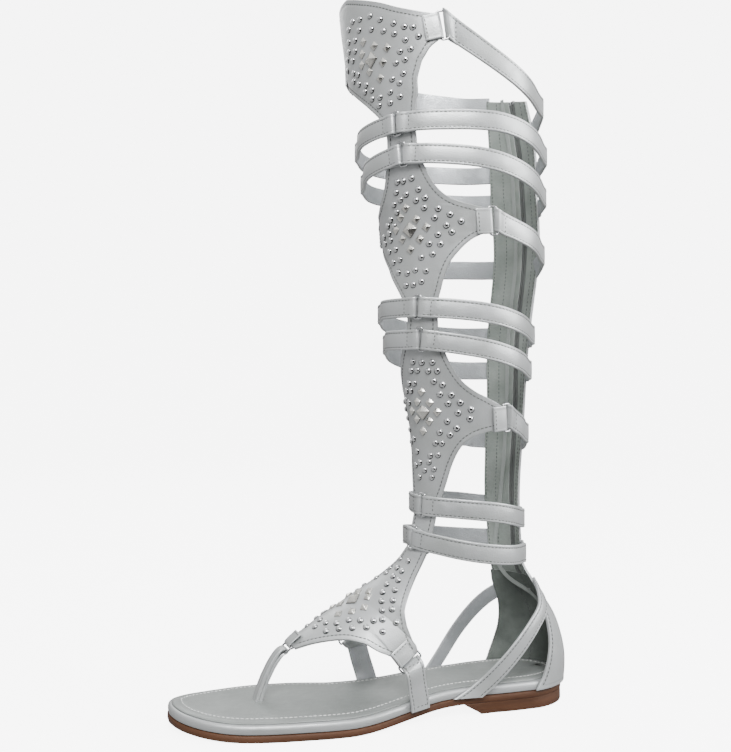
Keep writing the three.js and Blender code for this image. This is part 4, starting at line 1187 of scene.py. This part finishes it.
# ---- Heel straps ----
# Two narrow straps of lined leather rise from the edge of the platform, on either side of the heel, cut
# level at the foot. They cross back over the counter to its top, where they are sewn down.
HEEL_STRAP_WIDTH = 9.4
HEEL_STRAP_FOOT = 11.6
HEEL_STRAPS = (  # points beside the foot, then turns and heights on the counter
    ("outer", ((60, 29, 3.6), (51.6, 28.6, 7.4), (42.8, 28.4, 12), (34, 29.4, 18.6), (25, 32, 27.6),
               (14.8, 33.4, 38.8), (3.6, 31.4, 51)), ((133, 60.4), (150, 67), (166, 72.4))),
    ("inner", ((62, -21.6, 1.4), (55, -22, 6.4), (47.6, -23.8, 12.4), (38.6, -27.6, 21), (25.6, -31.4, 36),
               (13.4, -31.8, 49), (5, -29.4, 57)), ((234, 61.5), (222, 65), (211, 67))),
)
for name, rows, turns in HEEL_STRAPS:
    corners = [Vector(row) for row in rows] + [on_leg(turn, z, 1.3) for turn, z in turns]

    def heel_place(u):
        point = curve_through(corners, u)
        core = Vector((max(point.x * 0.4 + 12, point.x * 0.9), 0, point.z - 2))
        out = (point - core).normalized().lerp(leg_normal(point), ease(u, 0.55, 0.8)).normalized()
        return point + out * 0.95, out

    frames = frames_of(heel_place, 60)
    made = strap(frames, HEEL_STRAP_WIDTH)
    bmesh.ops.bisect_plane(made, geom=made.verts[:] + made.edges[:] + made.faces[:], dist=0.001,
                           plane_co=(0, 0, HEEL_STRAP_FOOT), plane_no=(0, 0, -1), clear_outer=True)
    close(made)
    finish(f"heel_strap_{name}", made, [leather, backing], "upper")
    sewn = len(threads)
    sew_strap(frames, HEEL_STRAP_WIDTH, False)
    threads[sewn:] = [bead for bead in threads[sewn:] if bead.translation.z > HEEL_STRAP_FOOT + 1.2]


# ---- Vamp ----
# The fourth winged panel lies over the instep, from the ankle ring down to the toe post's ring, and is
# cut, lined and sewn like the shin piece.
VAMP = (  # crest x, y and z, sideways turn, reach inner and outer, instep half widths and depth
    (69.9, 13, 99, 19, 9.4, 9.4, 38, 38, 38), (74.4, 9.4, 90.4, 18, 11.4, 11.4, 37.2, 38.2, 39.6),
    (81, 5.6, 83.4, 17, 14, 16.4, 36, 39, 42), (89, 1.6, 77, 15.5, 18.4, 24, 35, 40, 45),
    (96, -1.6, 72.2, 14, 24.4, 32.4, 34, 41, 47.6), (100.4, -3.6, 69.2, 13.4, 32, 41, 33.4, 41.5, 49),
    (103, -4.8, 67.4, 13, 41, 49, 33.1, 41.8, 49.7), (104.4, -5.2, 66.4, 13, 50, 55, 33, 41.9, 50),
    (113, -6.6, 60.8, 12, 50, 55, 32.6, 41.9, 50.6), (115, -6.8, 59.4, 11.6, 39, 46.4, 32.4, 41.6, 50.2),
    (118, -7, 57.6, 11, 30.4, 36, 31.9, 40.8, 49), (123, -7.4, 54.6, 10, 23.6, 27.2, 31, 38, 45.6),
    (129, -7.8, 50.6, 8, 18, 20, 29, 33.4, 40), (136, -8, 46, 6, 12.4, 13.4, 26.4, 28.6, 33),
    (143.4, -8, 41.2, 5, 7.8, 8, 24, 24, 26),
)
VAMP_STEPS = tuple((i / (len(VAMP) - 1), *row[3:]) for i, row in enumerate(VAMP))
VAMP_CREST = [Vector(row[:3]) for row in VAMP]
VAMP_COLUMNS = 9


def on_vamp(u, reach, out):
    yaw = radians(along(VAMP_STEPS, u, 1))
    sideways = Vector((-sin(yaw), cos(yaw), 0))
    forward = square_to(heading(VAMP_CREST, u), sideways)
    up = forward.cross(sideways)
    wide = along(VAMP_STEPS, u, 4 if reach < 0 else 5)
    deep = along(VAMP_STEPS, u, 6)
    angle = reach / hypot(wide, deep) * sqrt(2)
    point = curve_through(VAMP_CREST, u) + sideways * wide * sin(angle) - up * deep * (1 - cos(angle))
    return point + (sideways * sin(angle) / wide + up * cos(angle) / deep).normalized() * out


def vamp_reach(u, s):
    return s * along(VAMP_STEPS, u, 2 if s < 0 else 3)


def vamp_surface(u, v, out):
    side = along(VAMP_STEPS, v, 3 if u >= 0.5 else 2)
    return on_vamp(v, reach_at(u, side, VAMP_COLUMNS, 6.2), out)


def ring_on_vamp(u, s):
    edge = on_vamp(u, vamp_reach(u, s), LEATHER / 2)
    normal = (on_vamp(u, vamp_reach(u, s), 1) - on_vamp(u, vamp_reach(u, s), 0)).normalized()
    across = (edge - on_vamp(u, vamp_reach(u, s * 0.96), LEATHER / 2)).normalized()
    across = square_to(across, normal)
    return edge + across * RING_WIDTH / 2, across, normal.cross(across), normal


TAB_WIDTH = 12.8
vamp_rim = rim_of(vamp_surface, 168)
vamp = panel(vamp_surface, VAMP_COLUMNS * 2, 98, vamp_rim)
finish("vamp", vamp, [leather, lining], "upper")
for left in (True, False):
    sew(inside_line(vamp_surface, vamp_rim, left, 2.7, 220))
vamp_rings = {"outer": ring_on_vamp(7.5 / 14, 1), "inner": ring_on_vamp(7.5 / 14, -1)}
for name, axes in vamp_rings.items():
    ring_of_wire("ring_vamp_" + name, axes, TAB_WIDTH + 2.6)
    end_band("vamp_band_" + name, axes, -1, TAB_WIDTH + 0.9)


# ---- Side tabs ----
# Two short straps hold the vamp's rings. Each is folded round its ring and runs down over the edge of
# the platform to the outsole, sewn along both edges.
TABS = {
    "outer": ((76.6, 32.8, 9.2), (77, 32.9, 13.4), (79, 34, 23), (81, 35.2, 33.4)),
    "inner": ((89.4, -25.2, 7.8), (90, -25.9, 12.4), (92, -31.4, 23), (94, -35.4, 32.6)),
}
for name, rows in TABS.items():
    centre, across, bar, normal = vamp_rings[name]
    tab_end = centre + across * RING_WIDTH / 2 - normal * LEATHER / 2
    corners = [tab_end] + [Vector(row) for row in reversed(rows)]
    foot = Vector((1 if name == "outer" else -1, 0.25, 0)).normalized()

    def tab_place(u):
        point = curve_through(corners, u)
        ahead = heading(corners, u).normalized()
        level = foot.lerp(bar * -1, 1 - u)
        level = square_to(level, ahead)
        out = (ahead * -1).cross(level)
        return point + out * 0.9, out

    frames = frames_of(tab_place, 40)
    finish("tab_" + name, strap(frames, TAB_WIDTH, folded_end(frames), 1.8), [leather, backing],
           "tab_" + name)
    sew_strap(frames, TAB_WIDTH, True)


# ---- Toe post ----
# A doubled strip of leather comes up through the footbed between the first two toes, passes through
# the vamp's last ring and goes back down. The two layers are sewn along both edges, and once across
# below the ring.
TOE_POST_SIDE = -7.6
TOE_POST = ((163.5, 10.4), (162.4, 14), (159, 23), (154, 32.4), (149.4, 38))
TOE_POST_WIDTH = 9
TOE_BAND_WIDTH = 12.4
toe_down = Vector((1, 0, -0.9)).normalized()
toe_centre = on_vamp(1, 0, LEATHER / 2) + toe_down * RING_WIDTH / 2
toe_axes = (toe_centre, toe_down, Vector((0, 1, 0)), toe_down.cross(Vector((0, 1, 0))))
ring_of_wire("ring_toe", toe_axes, TOE_BAND_WIDTH + 1.7)
end_band("toe_band", toe_axes, -1, TOE_BAND_WIDTH)
post_route = [toe_centre + toe_down * RING_WIDTH / 2]
post_route += [Vector((x, TOE_POST_SIDE, z)) for x, z in reversed(TOE_POST)]


def post_place(u):
    point = curve_through(post_route, u)
    point.y = TOE_POST_SIDE + (post_route[0].y - TOE_POST_SIDE) * (1 - u)
    ahead = heading(post_route, u)
    return point, Vector((ahead.z, 0, -ahead.x)).normalized()


post_frames = frames_of(post_place, 40)
post_total = post_frames[-1][0]


def post_leaf(side):
    stops = []
    for s in (post_total, post_total - 3, post_total - 8, post_total - 14, 12, 8, 5.5, 3.5, 2, 1):
        point, ahead, out, aside = frame_at(post_frames, s)
        spread = exp(-(s / 4) ** 2)
        stops.append((point + out * side * (1.12 + 0.3 * spread), out * side, -aside, 2.1 - 0.9 * spread))
    return stops


point, ahead, out, aside = frame_at(post_frames, 0)
round_bar = [(point + away * 1.4, away, -aside, 1.2) for away in half_turn(ahead, out)[1:-1]]
post_rings = rings_at(post_leaf(-1) + round_bar + post_leaf(1)[::-1], TOE_POST_WIDTH)
finish("toe_post", band(post_rings, TOE_POST_WIDTH / 2), [leather], "toe_post")
for hand in (-1, 1):
    line = []
    for i in range(3, int(post_total * 2) - 6):
        point, ahead, out, aside = frame_at(post_frames, i / 2)
        line.append((point + Vector((0, hand * 2.8, 0)) + out * (2.02 + 0.2 * exp(-(i / 8) ** 2)), out))
    sew(line)
point, ahead, out, aside = frame_at(post_frames, 6.4)
sew([(point + out * 2.22 + aside * a, out) for a in (-3.4, 0, 3.4)], 1.7, 1.3)


# ---- Studs ----
# Nickel domes, small pyramids and one large pyramid on each panel, pressed through the leather and set
# out by hand. They run in curves from the middle of the panel out along its wings.
UPPER_DOMES = (  # reach from the middle of the shin piece and height
    (14.5, 410.5), (19, 406.5), (25.5, 402.5), (30.5, 399.5), (35, 398.5), (35.5, 393), (6.5, 411), (0, 412),
    (1.5, 405), (-7, 409), (10.5, 402.5), (17.5, 399.5), (23, 396.5), (27.5, 392), (28, 386.5), (21.5, 386),
    (22, 381), (16, 380), (17, 373.5), (9, 371.5), (12, 368.5), (3.5, 364.5), (8, 361), (0.5, 358.5),
    (-4.5, 363), (-7.5, 358.5), (-10.5, 363.5), (-7.5, 368.5), (-10, 372.5), (-13.5, 369), (-16, 375),
    (-13.5, 380.5), (-20.5, 378.5), (-17.5, 383), (-25.5, 387.5), (-20.5, 393), (-14, 390), (-15.5, 396.5),
    (-8.5, 394.5), (-12, 402), (-5, 400.5),
)
MIDDLE_DOMES = (
    (-3, 314), (1, 314), (6.5, 315), (-4.5, 308.5), (2, 306.5), (10, 308.5), (-2, 304), (8, 302.5),
    (13.5, 303.5), (-7, 302), (12.5, 298), (20.5, 297), (26.5, 293.5), (-5.5, 297.5), (17.5, 292),
    (32, 289.5), (-11.5, 294), (23.5, 287.5), (-15.5, 291), (-9.5, 290), (18, 282.5), (26, 283.5),
    (-15, 286.5), (-22.5, 285.5), (12, 277.5), (18.5, 277), (-22, 281.5), (-14.5, 282.5), (13, 271.5),
    (-17.5, 276), (-11, 276.5), (6, 270), (-14.5, 269), (-8.5, 270), (-11, 262.5), (-4.5, 261.5), (1, 263),
    (7.5, 262), (-7, 254.5), (-2, 254.5), (3.5, 256),
)
LOWER_DOMES = (
    (-3.5, 210), (2.5, 209.5), (9, 209.5), (-5, 205), (-0.5, 205), (6.5, 204.5), (12, 204.5), (-8, 197.5),
    (-3.5, 197.5), (9.5, 198.5), (14.5, 196.5), (-11.5, 193), (-7, 193), (12.5, 191), (19, 190.5),
    (-14.5, 187.5), (-11, 186), (16.5, 185.5), (23.5, 186), (-21.5, 182), (21.5, 180), (29, 182),
    (27.5, 176.5), (-19, 176.5), (14.5, 175), (19.5, 171), (-16.5, 169.5), (9.5, 168.5), (15.5, 167),
    (-10.5, 164), (-15, 162), (6.5, 162), (10.5, 162), (-7.5, 156.5), (3, 154.5), (8, 155), (-9, 148),
    (-5, 150), (2, 150.5), (5.5, 146.5), (-1, 145.5), (-5, 141), (4.5, 141.5), (-27.5, 176), (-29, 182),
    (-23, 186.5),
)
SHIN_PYRAMIDS = (
    (1, 397), (7.5, 392.5), (15, 389.5), (-3.5, 390.5), (8.5, 382), (-7, 384.5), (-3, 379), (2, 373.5),
    (1, 299), (-3.5, 294), (6.5, 292), (12, 287), (-8.5, 287.5), (-4.5, 281.5), (7, 280.5), (0, 275),
    (1, 192.5), (-3, 186.5), (5.5, 186), (-9, 181), (9.5, 180.5), (-5.5, 176), (3.5, 175), (-1.5, 169),
)
SHIN_LARGE = ((1.5, 385.5), (1.5, 286.5), (0, 180.5))
VAMP_DOMES = (  # share of the way down the vamp and reach from its crest
    (0.873, -5.5), (0.857, 4), (0.793, -11), (0.804, 0.5), (0.734, -11.5), (0.8, 7.5), (0.836, 13.5),
    (0.758, 13.5), (0.776, 18), (0.664, 17), (0.704, 23), (0.566, 22), (0.576, 28), (0.534, 27),
    (0.509, 29.5), (0.539, 35.5), (0.407, 35.5), (0.329, 27), (0.404, 24.5), (0.326, 18.5), (0.276, 22),
    (0.228, 16), (0.269, 12.5), (0.221, 8), (0.181, 10.5), (0.173, 4.5), (0.135, 5.5), (0.167, -4.5),
    (0.127, -0.5), (0.203, -8.5), (0.073, -7), (0.076, 2), (0.133, -7.5), (0.26, -13), (0.3, -19),
    (0.36, -25), (0.41, -31), (0.47, -27), (0.53, -31), (0.58, -24), (0.65, -19), (0.7, -14.5),
)
VAMP_PYRAMIDS = ((0.553, -2.5), (0.682, 7), (0.556, 12.5), (0.518, 15.5), (0.364, 9.5), (0.307, 4.5),
                 (0.356, -2.5), (0.45, -11), (0.6, -9))
VAMP_LARGE = ((0.511, 2.5),)

UPPER_FOOT = 350
SQUARE_TURN = -27

dome = bmesh.new()
bmesh.ops.create_uvsphere(dome, u_segments=12, v_segments=8, radius=1.86)
bmesh.ops.bisect_plane(dome, geom=dome.verts[:] + dome.edges[:] + dome.faces[:], plane_co=(0, 0, 0),
                       plane_no=(0, 0, 1), clear_inner=True)
bmesh.ops.scale(dome, vec=(1, 1, 0.66), verts=dome.verts)
for wider, height in ((1.13, 0.02), (1.03, -0.35)):
    skirt, _ = edge_out(dome, [edge for edge in dome.edges if edge.is_boundary])
    for vert in skirt:
        vert.co = Vector((vert.co.x * wider, vert.co.y * wider, height))
bmesh.ops.holes_fill(dome, edges=[edge for edge in dome.edges if edge.is_boundary], sides=0)
face_outward(dome)


# Stores each vertex's share of the stud's height; the nickel materials use it to paint shade round the foot
# of each stud.
def paint_foot_shade(bm, low, high):
    crown = bm.verts.layers.float.new("crown")
    for vert in bm.verts:
        vert[crown] = min(max((vert.co.z - low) / (high - low), 0.0), 1.0)


paint_foot_shade(dome, -0.1, 1.1)
dome_mesh = mesh_of("dome", dome)


def pyramid(name, width, height):
    bm = bmesh.new()
    bmesh.ops.create_cone(bm, cap_ends=True, segments=4, radius1=width * 0.7071, radius2=0.05, depth=height)
    bmesh.ops.translate(bm, vec=(0, 0, height / 2 + 0.35), verts=bm.verts)
    foot = [face for face in bm.faces if face.normal.z < -0.9]
    grown = verts_in(bmesh.ops.extrude_face_region(bm, geom=foot))
    bmesh.ops.delete(bm, geom=foot, context="FACES_ONLY")
    bmesh.ops.translate(bm, vec=(0, 0, -0.8), verts=grown)
    round_off(bm, [edge for edge in bm.edges if max(vert.co.z for vert in edge.verts) > 0.2], 0.13, 2)
    face_outward(bm)
    paint_foot_shade(bm, -0.4, height)
    return mesh_of(name, bm)


def nickel(name, high, rough):
    made, tree, principled = shader(name, (0.6, 0.6, 0.6), 0.1, 1.0)
    crown = node_of(tree, "ShaderNodeAttribute", attribute_name="crown")
    # Painted shade: the stud is near black at its foot and brightens to the metal's colour up its side.
    dress(tree, principled, tint(tree, crown.outputs["Fac"], (0.05, 0.05, 0.048), high, 0.12, 0.46),
          span(tree, noise(tree, 800, 3), *rough, 0.3, 0.7), bump(tree, noise(tree, 1200, 3), 0.00003, 0.4))
    return made


dome_nickel = nickel("dome_nickel", (0.76, 0.77, 0.78), (0.04, 0.09))
pyramid_nickel = nickel("pyramid_nickel", (0.86, 0.85, 0.8), (0.2, 0.3))
small_mesh = pyramid("small_pyramid", 4.1, 1.35)
large_mesh = pyramid("large_pyramid", 7.2, 2.2)


def stud_place(surface, a, b, step_a, step_b):
    foot, ahead = surface(a, b, LEATHER + 0.1), surface(a + step_a, b + step_b, LEATHER + 0.1)
    place = stood_on(foot, surface(a, b, LEATHER + 1.1), ahead)
    if surface is on_shin and b > UPPER_FOOT:
        place = place @ Matrix.Rotation(radians(SQUARE_TURN), 4, "Z")
    return place


dome_places = [stud_place(on_shin, a, b, 0, 1) for a, b in UPPER_DOMES + MIDDLE_DOMES + LOWER_DOMES]
dome_places += [stud_place(on_vamp, u, reach, -0.01, 0) for u, reach in VAMP_DOMES]
place_copies(dome_mesh, dome_places, "dome_studs", [dome_nickel], None)
pyramid_places = [stud_place(on_shin, a, b, 0, 1) for a, b in SHIN_PYRAMIDS]
pyramid_places += [stud_place(on_vamp, u, reach, -0.01, 0) for u, reach in VAMP_PYRAMIDS]
place_copies(small_mesh, pyramid_places, "small_pyramid_studs", [pyramid_nickel], None)
large_places = [stud_place(on_shin, a, b, 0, 1) for a, b in SHIN_LARGE]
large_places += [stud_place(on_vamp, u, reach, -0.01, 0) for u, reach in VAMP_LARGE]
place_copies(large_mesh, large_places, "large_pyramid_studs", [pyramid_nickel], None)


# ---- Stitching ----
# Grey thread, darker than the leather: partly the thread's own grey, partly painted shade of the stitch
# holes. Every run set out above is sewn here, one small bead of thread for each stitch.
def twine(name, low, high, roughness):
    made, tree, principled = shader(name, low, roughness)
    dress(tree, principled, tint(tree, noise(tree, 900, 3), low, high),
          normal=bump(tree, noise(tree, 2600, 2), 0.0001, 0.6))
    return made


bead = bmesh.new()
bmesh.ops.create_uvsphere(bead, u_segments=6, v_segments=4, radius=1)
bmesh.ops.rotate(bead, cent=(0, 0, 0), matrix=Matrix.Rotation(pi / 2, 3, "Y"), verts=bead.verts)
bead_mesh = mesh_of("bead", bead)
# Dark thread: its own grey with painted shade of the stitch holes.
thread = twine("thread_and_painted_hole_shade", (0.055, 0.06, 0.057), (0.11, 0.115, 0.112), 0.55)
half_way = len(threads) // 2
place_copies(bead_mesh, threads[:half_way], "stitching_shin_and_straps", [thread], None)
place_copies(bead_mesh, threads[half_way:], "stitching_foot_and_back", [thread], None)
pale = twine("pale_thread", (0.5, 0.51, 0.5), (0.68, 0.69, 0.68), 0.5)
place_copies(bead_mesh, pale_threads, "stitching_footbed", [pale], None)
